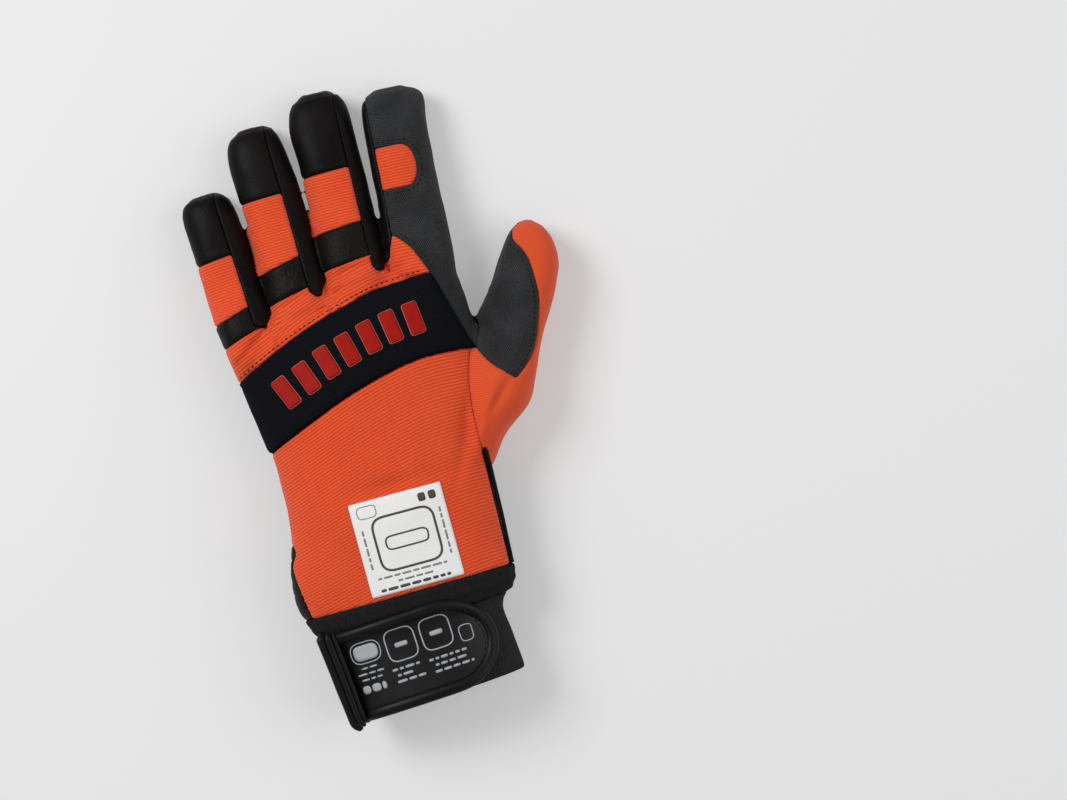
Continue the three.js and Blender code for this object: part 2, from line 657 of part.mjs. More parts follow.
// The pads and grip patches sewn under the palm, the fingertips and the thumb.
function addPalmPatches() {
  const patch = (name, outline) => {
    addPiece(name, layer(outline, seamGap, padThickness, "lower"), materials.grip);
  };
  const lobe = (finger) =>
    [[0.0, 0.55], [lobeReach * 0.7, 0.5], [lobeReach, 0.25], [lobeReach, -0.25],
      [lobeReach * 0.7, -0.5], [0.0, -0.55]].map(([along, side]) => fingerSpot(finger, along, side));
  patch("pad_upper", [
    ...upperPadFoot.map(palmSpot),
    ...lobe(fingers.ring).reverse(),
    palmSpot({ x: -0.06, y: 0.93 }),
    ...lobe(fingers.middle).reverse(),
    palmSpot({ x: 0.27, y: 0.93 }),
    palmSpot({ x: 0.36, y: 0.895 }),
  ]);
  patch("pad_heel_outer", heelPadOuter.map(palmSpot));
  patch("pad_heel_inner", heelPadInner.map(palmSpot));
  const across = (finger, from, to, wide) =>
    [[from, -wide], [from, wide], [to, wide], [to, -wide]].map(([along, side]) =>
      fingerSpot(finger, along, side),
    );
  patch("tip_patch_little", across(fingers.little, 0.58, 1.1, 0.66));
  patch("tip_patch_ring", across(fingers.ring, 0.64, 1.1, 0.66));
  patch("tip_patch_middle", across(fingers.middle, 0.64, 1.1, 0.66));
  patch("mid_patch_ring", across(fingers.ring, 0.37, 0.52, 0.66));
  patch("mid_patch_middle", across(fingers.middle, 0.37, 0.52, 0.66));
  const thumbPatch = [
    { along: 0.55, side: -0.85 }, { along: 0.5, side: 0.55 }, { along: 0.8, side: 0.55 },
    { along: 0.92, side: 0.3 }, { along: 1.05, side: 0.05 }, { along: 1.05, side: -0.5 },
    { along: 0.8, side: -0.75 },
  ];
  patch("tip_patch_thumb", thumbPatch.map(thumbSpot));
}

// The strap: a sewn fold at the little-finger side, a rounded tab over the back, a rolled rim.
function addStrap() {
  const [foot, top] = [-strapOutline.foot * cuffLength, -strapOutline.top * cuffLength];
  const radius = (top - foot) / 2;
  const centre = { x: strapOutline.tip * palmWidth - radius, y: (top + foot) / 2 };
  const root = palmSections[1].left * palmWidth + foldWidth;
  const tab = (inset) => [
    new THREE.Vector2(root + seamGap, foot + inset),
    ...[-90, -65, -40, -15, 15, 40, 65, 90].map((degrees) => {
      const turn = THREE.MathUtils.degToRad(degrees);
      const reach = radius - inset;
      return new THREE.Vector2(centre.x + reach * Math.cos(turn), centre.y + reach * Math.sin(turn));
    }),
    new THREE.Vector2(root + seamGap, top - inset),
  ];
  const rimInside = prism(tab(rimWidth));
  const face = layer(tab(rimWidth + seamGap), seamGap, strapThickness, "upper");
  addPiece("strap_face", face, materials.strap);
  const rim = layer(tab(0), seamGap, strapThickness + rimHeight, "upper");
  addPiece("strap_rim", largestBody(rim.subtract(rimInside)), materials.strap);
  const fold = [
    new THREE.Vector2(root - 2 * foldWidth, foot - 1.6),
    new THREE.Vector2(root, foot - 1.6),
    new THREE.Vector2(root, top + 1.6),
    new THREE.Vector2(root - 2 * foldWidth, top + 1.6),
  ];
  addPiece("strap_fold", layer(fold, seamGap, strapThickness + rimHeight, "upper"), materials.strap);
}

// The sewn-on label and the short welt at the thumb-side seam.
function addTrim() {
  const label = layer(labelOutline.map(palmSpot), seamGap, labelThickness, "upper");
  addPiece("label", label, materials.label);
}

addCuff();
addGusset("little", "ring");
addGusset("ring", "middle");
addGusset("middle", "index");
addFingerBack("little");
addFingerBack("ring");
addFingerBack("middle");
addKnuckleBar();
addBackPanels();
addThumb();
addIndexFinger();
addPiece("palm_leather", largestBody(cloth), materials.leather);
addPalmPatches();
addStrap();
addTrim();

// The origin is the middle of the glove's outline, on the surface on which it lies.
const glove = new THREE.Group();
glove.add(group);
const bounds = new THREE.Box3().setFromObject(group);
const middle = bounds.getCenter(new THREE.Vector3());
group.position.set(-middle.x, -middle.y, -bounds.min.z);

export default glove;
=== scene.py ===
# A left-hand chainsaw glove: ribbed knit, leather and woven synthetic dressed on its CAD frame.
import math
import random

import bmesh
import bpy
from mathutils import Matrix, Vector, noise
from mathutils.bvhtree import BVHTree
from mathutils.kdtree import KDTree


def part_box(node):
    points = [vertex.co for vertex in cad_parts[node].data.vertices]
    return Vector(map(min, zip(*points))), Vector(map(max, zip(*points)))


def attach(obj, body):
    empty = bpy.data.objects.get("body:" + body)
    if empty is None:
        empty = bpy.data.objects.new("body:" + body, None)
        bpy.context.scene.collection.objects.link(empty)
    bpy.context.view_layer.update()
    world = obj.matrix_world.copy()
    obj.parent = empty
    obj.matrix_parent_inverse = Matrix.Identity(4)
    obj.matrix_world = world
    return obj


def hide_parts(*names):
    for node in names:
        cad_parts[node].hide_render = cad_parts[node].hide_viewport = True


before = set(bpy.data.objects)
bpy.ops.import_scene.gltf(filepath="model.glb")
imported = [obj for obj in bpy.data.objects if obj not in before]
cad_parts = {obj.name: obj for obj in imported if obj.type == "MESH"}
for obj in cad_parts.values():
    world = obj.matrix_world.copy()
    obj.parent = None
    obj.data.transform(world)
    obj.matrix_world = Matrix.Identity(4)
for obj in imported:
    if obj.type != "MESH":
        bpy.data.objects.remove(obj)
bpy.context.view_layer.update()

# Camera, floor and light
# The glove lies on a pale table under soft studio light, and the camera looks straight down.
# The view is turned so that the fingers point up and a little to the left.
MM = 0.001
LABEL_CORNER = (-27.0, -0.5)  # the label's lowest corner in the hand's own millimetres
label_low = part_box("label")[0]
HAND_TO_ROW = Matrix.Translation(
    (label_low.x - LABEL_CORNER[0] * MM, label_low.y - LABEL_CORNER[1] * MM, 0)
) @ Matrix.Scale(MM, 4)
IMAGE_WIDTH, IMAGE_CENTRE = 448.0, (63.1, 60.2)  # hand millimetres, at half the glove's height
VIEW_TURN = math.radians(-18.5)
CAMERA_HEIGHT, MIDDLE_HEIGHT, VIEW_REACH = 1.6, 0.02, 20
SENSOR = 36
FLOOR_HALF, FLOOR_DROP = 4, 0.0003
TABLE_GLOW, SKY_GLOW = 0.3, 0.35


def place_object(name, data):
    made = bpy.data.objects.new(name, data)
    bpy.context.scene.collection.objects.link(made)
    return made


def new_object(name, mesh, matrix=None):
    """A bmesh becomes an object of that name, and the bmesh is freed."""
    data = bpy.data.meshes.new(name)
    if matrix is not None:
        mesh.transform(matrix)
    mesh.to_mesh(data)
    mesh.free()
    return place_object(name, data)


class Paint:
    """A material of shader nodes. Each method adds nodes and gives their output."""

    def __init__(self, name):
        self.material = bpy.data.materials.new(name)
        self.material.use_nodes = True
        self.tree = self.material.node_tree
        self.shader = self.tree.nodes["Principled BSDF"]

    def join(self, value, socket):
        """Links an output to a socket, or sets the socket to a plain value."""
        if isinstance(value, bpy.types.NodeSocket):
            self.tree.links.new(value, socket)
        else:
            socket.default_value = value

    def add(self, kind, values=None, **settings):
        node = self.tree.nodes.new("ShaderNode" + kind)
        for key, value in settings.items():
            setattr(node, key, value)
        for socket, value in (values or {}).items():
            self.join(value, node.inputs[socket])
        return node

    def place(self):
        return self.add("TexCoord").outputs["Object"]

    def flat(self):
        """The piece's own UV map, in decimetres."""
        return self.add("UVMap", uv_map="weave").outputs[0]

    def axes(self, place):
        return self.add("SeparateXYZ", {0: place}).outputs

    def math(self, operation, a, b=0.0):
        return self.add("Math", {0: a, 1: b}, operation=operation).outputs[0]

    def plus(self, a, b):
        return self.math("ADD", a, b)

    def times(self, a, b):
        return self.math("MULTIPLY", a, b)

    def sine(self, value, turns):
        return self.math("SINE", self.times(value, turns))

    def noise(self, place, scale, detail):
        values = {"Vector": place, "Scale": scale, "Detail": detail}
        return self.add("TexNoise", values).outputs["Fac"]

    def blend(self, share, low, high):
        """A colour between two, by a share from 0 to 1."""
        node = self.add("Mix", data_type="RGBA")
        for name, value in (("Factor", share), ("A", (*low, 1)), ("B", (*high, 1))):
            self.join(value, [s for s in node.inputs if s.name == name and s.enabled][0])
        return [s for s in node.outputs if s.enabled][0]

    def relief(self, height, strength, depth=0.0003):
        values = {"Height": height, "Strength": strength, "Distance": depth}
        self.join(self.add("Bump", values).outputs[0], self.shader.inputs["Normal"])

    def finish(self, tone, dark, light, rough, shine):
        """Joins the colour, sets how it shines, and gives the material."""
        self.join(self.blend(tone, dark, light), self.shader.inputs["Base Color"])
        self.join(rough, self.shader.inputs["Roughness"])
        self.shader.inputs["Specular IOR Level"].default_value = shine
        return self.material


camera = place_object("camera", bpy.data.cameras.new("camera"))
bpy.context.scene.camera = camera
camera.location = HAND_TO_ROW @ Vector((*IMAGE_CENTRE, CAMERA_HEIGHT / MM))
camera.rotation_euler = (0, 0, VIEW_TURN)
camera.data.sensor_width = SENSOR
camera.data.lens = SENSOR * (CAMERA_HEIGHT - MIDDLE_HEIGHT) / (IMAGE_WIDTH * MM)
camera.data.clip_end = VIEW_REACH
for name, place, size, power in (("key_light", (-0.8, 0.8, 1.1), 0.7, 17),
                                 ("fill_light", (1.1, -0.3, 1.0), 1.2, 7.5)):
    lamp = bpy.data.lights.new(name, "AREA")
    lamp.size = size
    lamp.energy = power
    holder = place_object(name, lamp)
    holder.location = place
    holder.rotation_euler = (-Vector(place)).to_track_quat("-Z", "Y").to_euler()
world = bpy.data.worlds.new("studio")
bpy.context.scene.world = world
world.use_nodes = True
world.node_tree.nodes["Background"].inputs["Color"].default_value = (1, 1, 1, 1)
world.node_tree.nodes["Background"].inputs["Strength"].default_value = SKY_GLOW
bpy.context.scene.view_settings.view_transform = "Standard"
floor_mesh = bmesh.new()
bmesh.ops.create_grid(floor_mesh, x_segments=1, y_segments=1, size=FLOOR_HALF)
bmesh.ops.translate(floor_mesh, verts=floor_mesh.verts, vec=(0, 0, -FLOOR_DROP))
floor = new_object("floor", floor_mesh)
paint = Paint("pale_table")
paint.shader.inputs["Emission Color"].default_value = (1, 1, 1, 1)
paint.shader.inputs["Emission Strength"].default_value = TABLE_GLOW
cloud = paint.noise(paint.place(), 3.0, 2.0)
floor.data.materials.append(paint.finish(cloud, (0.5, 0.5, 0.5), (0.51, 0.51, 0.51), 1.0, 0.0))

# The form of the hand
# All panels are sewn to the shape of one relaxed, empty glove. It is lofted from sections
# of the palm, four fingers and the thumb, fused, and pressed flat where it rests.
PALM_LENGTH, PALM_WIDTH, PALM_DEPTH, CUFF_LENGTH = 125.0, 100.0, 35.0, 45.0
THUMB_LENGTH, THUMB_WIDTH, THUMB_DEPTH, FINGER_DEPTH = 73.0, 27.0, 24.0, 20.0
THUMB_ROOT, THUMB_LEAN = (0.468, 0.55), 32.4
REST_HEIGHT = 2.0
SEAM_SHARE = 0.42
ROUND_BELOW, ROUND_ABOVE = 2.9, 2.35  # powers of the sections' curves; 2 is an ellipse
FORM_GRAIN = 0.85
BACK_START, BACK_RISE = 11, 6  # folds fade in over this height, so that the palm stays flat
FOLD_END, PULL_END = 3, 6  # past these a fold or pull is nothing: reaches, and reaches squared
TIP_START = 0.6  # past this share of a finger, its tip is drawn out
ROOT_ROWS = (112, 150)  # between these heights the fingers grow from the palm
WEB_SIDE, WEB_ROWS = 36, (38, 108)  # and the thumb grows from it here
SWAYS = ((0.55, 0.045), (0.25, 0.11))  # height and closeness of the form's uneven waves


def table(keys, *rows):
    """Rows of numbers as dicts, under the names in keys."""
    return [dict(zip(keys.split(), row)) for row in rows]


FINGERS = dict(zip(("little", "ring", "middle", "index"), table(
    "x root length width lean seam inner tip",
    (-0.42, 0.99, 61.5, 24.0, 0.0, 0.36, -1.2, 0.8),
    (-0.172, 1.0, 81.0, 26.0, 2.4, 0.42, -1.07, 0.7),
    (0.085, 1.0, 85.5, 26.4, 5.0, 0.58, -1.07, 2.1),
    (0.362, 0.99, 78.5, 27.0, 7.0, 1.3, -0.78, 3.2),
)))
FINGER_SECTIONS = table(
    "along wide low high",
    (-0.3, 0.8, 0.3, 1.1), (0.0, 0.99, 0.14, 1.27), (0.22, 1.04, 0.08, 1.16),
    (0.5, 0.99, 0.02, 1.0), (0.75, 0.98, -0.05, 0.93), (0.87, 0.96, -0.05, 0.86),
    (0.94, 0.88, 0.0, 0.77), (0.98, 0.7, 0.08, 0.66), (1.0, 0.42, 0.2, 0.52),
)
PALM_SECTIONS = table(
    "y left right low high",
    (-67.5, -0.475, 0.24, 0.0, 0.9), (-45.0, -0.478, 0.24, 0.0, 0.9),
    (-27.9, -0.484, 0.238, 0.0, 0.88), (-15.3, -0.497, 0.242, 0.0, 0.89),
    (-12.15, -0.51, 0.3, -0.01, 0.93), (-4.5, -0.548, 0.335, -0.03, 0.97),
    (7.5, -0.57, 0.34, -0.04, 0.99), (22.5, -0.565, 0.355, -0.04, 1.02),
    (37.5, -0.52, 0.37, -0.04, 1.04), (52.5, -0.495, 0.4, -0.04, 1.03),
    (70.0, -0.487, 0.45, -0.03, 1.0), (90.0, -0.493, 0.49, -0.03, 0.94),
    (106.25, -0.503, 0.497, 0.0, 0.87), (116.25, -0.522, 0.497, 0.04, 0.81),
    (122.5, -0.51, 0.49, 0.07, 0.76), (130.0, -0.42, 0.42, 0.22, 0.55),
)
THUMB_SECTIONS = table(
    "along out wide low high",
    (-0.4, -0.4, 1.0, 0.02, 1.15), (-0.19, -0.39, 1.2, -0.03, 1.2),
    (0.0, 0.0, 1.26, -0.03, 1.18), (0.18, 0.05, 1.18, -0.03, 1.13),
    (0.38, 0.05, 1.1, -0.02, 1.07), (0.6, 0.18, 1.01, 0.0, 1.0),
    (0.8, 0.2, 0.93, 0.03, 0.95), (0.9, 0.12, 0.8, 0.08, 0.87),
    (0.97, 0.04, 0.56, 0.18, 0.76), (1.0, 0.0, 0.3, 0.3, 0.64),
)
# Folds pressed into the back or raised from it: place, size across and along, turn, height.
FOLDS = table(
    "name x y reach run angle lift",
    ("web valley", 55, 90, 4, 16, -66, -4.5),
    ("ruffle by the little finger", -50, 116, 3.2, 8, 10, 2.4),
    ("dip below the ruffle", -50, 107.5, 2.6, 9, 15, -1.5),
    ("gather below ring", -21, 131, 2.2, 9, 12, -2.2),
    ("swell below it", -20, 127, 2.0, 9, 12, 1.3),
    ("gather below middle", 7, 136, 2.0, 8.5, 4, -2.3),
    ("swell below that", 7, 132.4, 2.0, 9, 4, 1.2),
    ("crease beside the little band", -35, 123, 1.6, 6, 26, -1.8),
    ("crease over the bar", -44, 117, 1.4, 9, 30, -1.4),
    ("hollow at the wrist", -10, -12.5, 7, 45, -2, -1.5),
    ("dent over the label", -4, 45.5, 3, 16, -4, -1.7),
    ("swell on the back", -28, 52, 22, 9, 8, 0.8),
    ("pull to the thumb", 34, 60, 2.4, 20, 62, -1.5),
    ("pull beside it", 41, 58, 2.2, 18, 56, 1.3),
    ("thumb root crease", 50, 66, 2.0, 15, 40, -1.3),
)
# Small shifts of the form in the plan: place, reach, and how far it is drawn across and along.
PULLS = table(
    "name x y reach across along",
    ("index corner", 62, 196, 6.5, 3.0, 2.6),
    ("ring outer side", -30, 190, 14, -1.0, 0.0),
    ("middle outer side", -1, 200, 12, -1.4, 0.3),
    ("heel", -57, 8, 15, -1.3, 0.0),
    ("bar end", -50, 102, 13, -0.4, 0.0),
    ("thumb tip", 82, 130, 9, 1.8, 1.2),
)


def palm_spot(x, y):
    return Vector((x * PALM_WIDTH, y * PALM_LENGTH))


def turned(lean, up, out):
    """A step up and out along a digit that leans to the thumb side."""
    lean = math.radians(lean)
    return Vector(
        (up * math.sin(lean) + out * math.cos(lean), up * math.cos(lean) - out * math.sin(lean))
    )


def finger_spot(finger, along, side):
    step = turned(finger["lean"], along * finger["length"], side * finger["width"] / 2)
    return palm_spot(finger["x"], finger["root"]) + step


def thumb_spot(along, side):
    return palm_spot(*THUMB_ROOT) + turned(THUMB_LEAN, along * THUMB_LENGTH, side * THUMB_WIDTH / 2)


def smooth_rows(rows, place, steps):
    """The rows of a table with smooth ones between them, so that there are steps + 1."""
    last = len(rows) - 1

    def slope(key, i):
        a, b = rows[max(0, i - 1)], rows[min(last, i + 1)]
        return (b[key] - a[key]) / (b[place] - a[place])

    made = []
    for step in range(steps + 1):
        at = rows[0][place] + (rows[-1][place] - rows[0][place]) * step / steps
        i = max(0, min(last - 1, sum(1 for row in rows if row[place] <= at) - 1))
        span = rows[i + 1][place] - rows[i][place]
        t = (at - rows[i][place]) / span
        row = {place: at}
        for key in rows[0]:
            if key != place:
                row[key] = (
                    (2 * t**3 - 3 * t**2 + 1) * rows[i][key]
                    + (t**3 - 2 * t**2 + t) * span * slope(key, i)
                    + (3 * t**2 - 2 * t**3) * rows[i + 1][key]
                    + (t**3 - t**2) * span * slope(key, i + 1)
                )
        made.append(row)
    return made


def ring_edges(ring):
    inside = set(ring)
    return list({edge for vert in ring for edge in vert.link_edges if edge.other_vert(vert) in inside})


def loft(mesh, rings):
    """Joins rings into a closed tube."""
    for near, far in zip(rings, rings[1:]):
        bmesh.ops.bridge_loops(mesh, edges=ring_edges(near) + ring_edges(far))
    for end in (rings[0], rings[-1]):
        bmesh.ops.contextual_create(mesh, geom=ring_edges(end))


def loft_sections(rows, sides, depth, half_of, spot_of):
    """One limb of rounded sections, flatter than an ellipse below and rounder above."""
    rings = []
    for row in rows:
        low, high = REST_HEIGHT + row["low"] * depth, REST_HEIGHT + row["high"] * depth
        middle = low + SEAM_SHARE * (high - low)
        ring = bmesh.ops.create_circle(hand_mesh, segments=sides, radius=1)["verts"]
        for vert in ring:
            power = 2 / (ROUND_BELOW if vert.co.y < 0 else ROUND_ABOVE)
            out = math.copysign(abs(vert.co.x) ** power, vert.co.x) * half_of(row)
            rise = math.copysign(abs(vert.co.y) ** power, vert.co.y)
            vert.co = (*spot_of(row, out), middle + rise * (middle - low if rise < 0 else high - middle))
        rings.append(ring)
    loft(hand_mesh, rings)


def soften(mesh, verts, times):
    for _ in range(times):
        bmesh.ops.smooth_vert(mesh, verts=verts, factor=0.5, use_axis_x=True, use_axis_y=True,
                              use_axis_z=True)


def apply_modifiers(thing):
    """Replaces an object's mesh by what its modifiers make of it."""
    graph = bpy.context.evaluated_depsgraph_get()
    data = bpy.data.meshes.new_from_object(thing.evaluated_get(graph))
    thing.modifiers.clear()
    old = thing.data
    thing.data = data
    bpy.data.meshes.remove(old)


def fold_lift(x, y):
    """How far the folds lift the back at a place in the plan."""
    lift = 0.0
    for fold in FOLDS:
        turn = math.radians(fold["angle"])
        dx, dy = x - fold["x"], y - fold["y"]
        run = (dx * math.cos(turn) + dy * math.sin(turn)) / fold["run"]
        reach = (dy * math.cos(turn) - dx * math.sin(turn)) / fold["reach"]
        if abs(run) < FOLD_END and abs(reach) < FOLD_END:
            lift += fold["lift"] * math.exp(-run * run - reach * reach)
    return lift


hand_mesh = bmesh.new()
loft_sections(
    smooth_rows(PALM_SECTIONS, "y", 56), 72, PALM_DEPTH,
    lambda row: (row["right"] - row["left"]) * PALM_WIDTH / 2,
    lambda row, out: ((row["left"] + row["right"]) * PALM_WIDTH / 2 + out, row["y"]),
)
for finger in FINGERS.values():
    half, longer = finger["width"] / 2, finger["tip"] / finger["length"]
    loft_sections(
        smooth_rows(FINGER_SECTIONS, "along", 44), 36, FINGER_DEPTH,
        lambda row: row["wide"] * finger["width"] / 2,
        lambda row, out: finger_spot(
            finger, row["along"] + longer * max(0.0, row["along"] - TIP_START) / (1 - TIP_START), out / half
        ),
    )
loft_sections(
    smooth_rows(THUMB_SECTIONS, "along", 40), 40, THUMB_DEPTH,
    lambda row: row["wide"] * THUMB_WIDTH / 2,
    lambda row, out: thumb_spot(row["along"], row["out"] + out / (THUMB_WIDTH / 2)),
)
bmesh.ops.recalc_face_normals(hand_mesh, faces=hand_mesh.faces)
hand = new_object("hand_form", hand_mesh)
remesh = hand.modifiers.new("fuse", "REMESH")
remesh.mode = "VOXEL"
remesh.voxel_size = FORM_GRAIN
apply_modifiers(hand)
form_mesh = bmesh.new()
form_mesh.from_mesh(hand.data)
soften(form_mesh, form_mesh.verts, 1)
roots = [vert for vert in form_mesh.verts if ROOT_ROWS[0] < vert.co.y < ROOT_ROWS[1]
         or (vert.co.x > WEB_SIDE and WEB_ROWS[0] < vert.co.y < WEB_ROWS[1])]
soften(form_mesh, roots, 8)
form_mesh.normal_update()
for vert in form_mesh.verts:
    up = max(0.0, min(1.0, (vert.co.z - BACK_START) / BACK_RISE))
    lift = fold_lift(vert.co.x, vert.co.y) * up
    sway = sum(height * noise.noise(vert.co * close) for height, close in SWAYS)
    vert.co += vert.normal * sway
    for pull in PULLS:
        far = ((vert.co.x - pull["x"]) ** 2 + (vert.co.y - pull["y"]) ** 2) / pull["reach"] ** 2
        if far < PULL_END:
            vert.co += Vector((pull["across"], pull["along"], 0)) * math.exp(-far)
    vert.co.z = max(REST_HEIGHT, vert.co.z + lift)
form_mesh.to_mesh(hand.data)
hand_tree = BVHTree.FromBMesh(form_mesh)
form_mesh.free()

# Cutting the panels
# Each panel is cut from the form along its seams, as cloth is cut to a pattern. Its edges are
# then turned in, and it gets its thickness. Panels above and below the side seams are cut apart.
SEAM_LINE = [(-90, 12.6), (0, 14.7), (100, 13.2), (125, 11.3), (169, 8.4), (312, 7.1)]  # Y and Z
CUT_FACE = 1  # material index of faces made by a cutter
FAR = 400.0
SCRAP_SHARE = 0.02  # smaller islands of skin are scraps
MERGE_WITHIN, SLIVER = 0.12, 0.15
EVEN_ROUNDS, EVEN_BORDER, EVEN_BESIDE = 4, 0.5, 0.6
PUCKER_CLOSENESS = 0.42


def cutter_prism(outline, low, high):
    """A closed prism over an outline in the plan."""
    mesh = bmesh.new()
    base = mesh.faces.new([mesh.verts.new((x, y, low)) for x, y in outline])
    top = bmesh.ops.extrude_face_region(mesh, geom=[base])["geom"]
    bmesh.ops.translate(
        mesh, verts=[v for v in top if isinstance(v, bmesh.types.BMVert)], vec=(0, 0, high - low)
    )
    bmesh.ops.recalc_face_normals(mesh, faces=mesh.faces)
    for face in mesh.faces:
        face.material_index = CUT_FACE
    return mesh


def half_space(above):
    """The space above or below the side seams."""
    far = FAR if above else -FAR
    mesh = cutter_prism(SEAM_LINE + [(312, far), (-90, far)], -FAR, FAR)
    # The outline's axes become Y and Z, and the extrusion runs along X.
    mesh.transform(Matrix(((0, 0, 1, 0), (1, 0, 0, 0), (0, 1, 0, 0), (0, 0, 0, 1))))
    return mesh


def cut(thing, cutter_mesh, operation, name=None):
    """The result of cutting an object with a bmesh, as a new object or in place."""
    cutter = new_object("cutter", cutter_mesh)
    target = place_object(name, thing.data.copy()) if name else thing
    for cut_thing in (cutter, target):
        while len(cut_thing.data.materials) < 2:
            cut_thing.data.materials.append(None)
    knife = target.modifiers.new("knife", "BOOLEAN")
    knife.operation = operation
    knife.solver = "MANIFOLD"
    knife.object = cutter
    apply_modifiers(target)
    bpy.data.meshes.remove(cutter.data)
    return target


whole_of = {
    "upper": cut(hand, half_space(True), "INTERSECT", "upper_form"),
    "lower": cut(hand, half_space(False), "INTERSECT", "lower_form"),
}
rest_of = {side: place_object(side + "_rest", form.data.copy()) for side, form in whole_of.items()}
bpy.data.meshes.remove(hand.data)
skin_points, skin_faces = [], []  # everything dressed so far, for what is laid on it


def take_mesh(patch, thing):
    """Moves an object's mesh into a patch; the object goes."""
    patch.from_mesh(thing.data)
    bpy.data.meshes.remove(thing.data)


def cut_panel(outlines, forms=rest_of, take=True):
    """The open skin inside outlines given for each side; take leaves a hole in what is left."""
    patch = bmesh.new()
    for side, outline in outlines.items():
        take_mesh(patch, cut(forms[side], cutter_prism(outline, -FAR, FAR), "INTERSECT", "part"))
        if take:
            cut(forms[side], cutter_prism(outline, -FAR, FAR), "DIFFERENCE")
    return skin_of(patch)


def skin_of(patch):
    """Takes the cut faces off a solid, and any scrap of skin, and evens the border."""
    inner = [face for face in patch.faces if face.material_index == CUT_FACE]
    bmesh.ops.delete(patch, geom=inner, context="FACES")
    bmesh.ops.remove_doubles(patch, verts=patch.verts, dist=MERGE_WITHIN)
    bmesh.ops.dissolve_degenerate(patch, edges=patch.edges, dist=SLIVER)
    islands, seen = [], set()
    for start in patch.faces:
        if start in seen:
            continue
        island, queue = [], [start]
        seen.add(start)
        while queue:
            face = queue.pop()
            island.append(face)
            for edge in face.edges:
                for other in edge.link_faces:
                    if other not in seen:
                        seen.add(other)
                        queue.append(other)
        islands.append(island)
    most = max(len(island) for island in islands)
    loose = [face for island in islands if len(island) < SCRAP_SHARE * most for face in island]
    bmesh.ops.delete(patch, geom=loose, context="FACES")
    for _ in range(EVEN_ROUNDS):
        moved = {}
        for vert in patch.verts:
            ends = [edge.other_vert(vert).co for edge in vert.link_edges if edge.is_boundary]
            if not ends:
                ends = [edge.other_vert(vert).co for edge in vert.link_edges]
                if any(edge.other_vert(vert).is_boundary for edge in vert.link_edges):
                    moved[vert] = vert.co.lerp(sum(ends, Vector()) / len(ends), EVEN_BESIDE)
            elif len(ends) == 2:
                moved[vert] = vert.co.lerp((ends[0] + ends[1]) / 2, EVEN_BORDER)
        for vert, place in moved.items():
            vert.co = place
    patch.normal_update()
    return patch


def edge_distances(patch, reach):
    """For each vertex within reach of the patch's border, its distance to it."""
    border = [edge for edge in patch.edges if edge.is_boundary]
    tree = KDTree(len(border) * 2)
    for i, edge in enumerate(border):
        tree.insert(edge.verts[0].co, 2 * i)
        tree.insert((edge.verts[0].co + edge.verts[1].co) / 2, 2 * i + 1)
    tree.balance()
    distances = ((vert, tree.find(vert.co)[2]) for vert in patch.verts)
    return {vert: distance for vert, distance in distances if distance < reach}


def turn_in(patch, drop, width, pucker=0.12):
    """Rolls a panel's border down to its seam, with small puckers beside the stitching."""
    for vert, distance in edge_distances(patch, 3 * width).items():
        near = max(0.0, 1 - distance / width)
        roll = drop * (1 - math.sqrt(max(0.0, 1 - near * near)))
        fade = math.exp(-distance / width) * (1 - near)
        wave = noise.noise(vert.co * PUCKER_CLOSENESS) * pucker * fade
        out = hand_tree.find_nearest(vert.co)[1]  # the form's normal is smoother than a border's
        vert.co -= out * (roll - 2 * wave)
    patch.normal_update()


def plan_uv(patch, u_at, v_at):
    """Gives a patch a UV map in decimetres from functions of each point."""
    layer = patch.loops.layers.uv.new("weave")
    for face in patch.faces:
        for loop in face.loops:
            loop[layer].uv = (u_at(loop.vert.co) / 100, v_at(loop.vert.co) / 100)


def dress(name, patch, material, nodes, thickness):
    """Turns a patch into a finished piece with its wall, material and body, and hides the CAD parts it
    stands for.
    """
    for face in patch.faces:
        face.smooth = True
        face.material_index = 0
    first = len(skin_points)
    patch.verts.index_update()
    skin_points.extend(vert.co.copy() for vert in patch.verts)
    skin_faces.extend([first + vert.index for vert in face.verts] for face in patch.faces)
    piece = new_object(name, patch, HAND_TO_ROW)
    piece.data.materials.append(material)
    if thickness:
        wall = piece.modifiers.new("wall", "SOLIDIFY")
        wall.thickness = thickness * MM
        wall.offset = -1
        wall.use_rim = True
    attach(piece, "root")
    if nodes:
        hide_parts(*nodes)
    return piece


def sew(name, outlines, hem, material, node, uv=None, thickness=1.8):
    """A plain panel: cut out, given its UV map, turned in at its border, and dressed.

    The hem is how far its border drops, over what width, and how much it puckers.
    """
    patch = cut_panel(outlines)
    if uv:
        plan_uv(patch, *uv)
    turn_in(patch, *hem)
    dress(name, patch, material, [node], thickness)


# Cuff and elastic wrist band
# Two rings of close black knit sewn end to end: the plain cuff, open at its end, and the
# gathered elastic band between it and the hand.
def matt_cloth(name, dark, light, scale, stretch, relief, stitch=None):
    """A fine even cloth or foam face on the glove's own coordinates, with a knit of a given size."""
    paint = Paint(name)
    place = paint.place()
    pulled = paint.add("Mapping", {"Vector": place, "Scale": stretch}).outputs[0]
    fine = paint.noise(pulled, scale, 3.0)
    sharp = paint.add("MapRange", {"Value": fine, "From Min": 0.36, "From Max": 0.64}).outputs[0]
    if stitch:
        x, y, _ = paint.axes(place)
        turn = 2 * math.pi / (stitch * MM)
        slant = paint.plus(x, paint.times(y, 0.6))
        loops = paint.times(paint.sine(slant, turn), paint.sine(y, turn * 1.15))
        sharp = paint.plus(paint.times(sharp, 0.45), paint.times(paint.plus(loops, 1.0), 0.3))
    tone = paint.plus(paint.times(sharp, 0.75), paint.times(paint.noise(place, 40.0, 2.0), 0.3))
    paint.relief(fine, relief)
    return paint.finish(tone, dark, light, 0.92, 0.06)


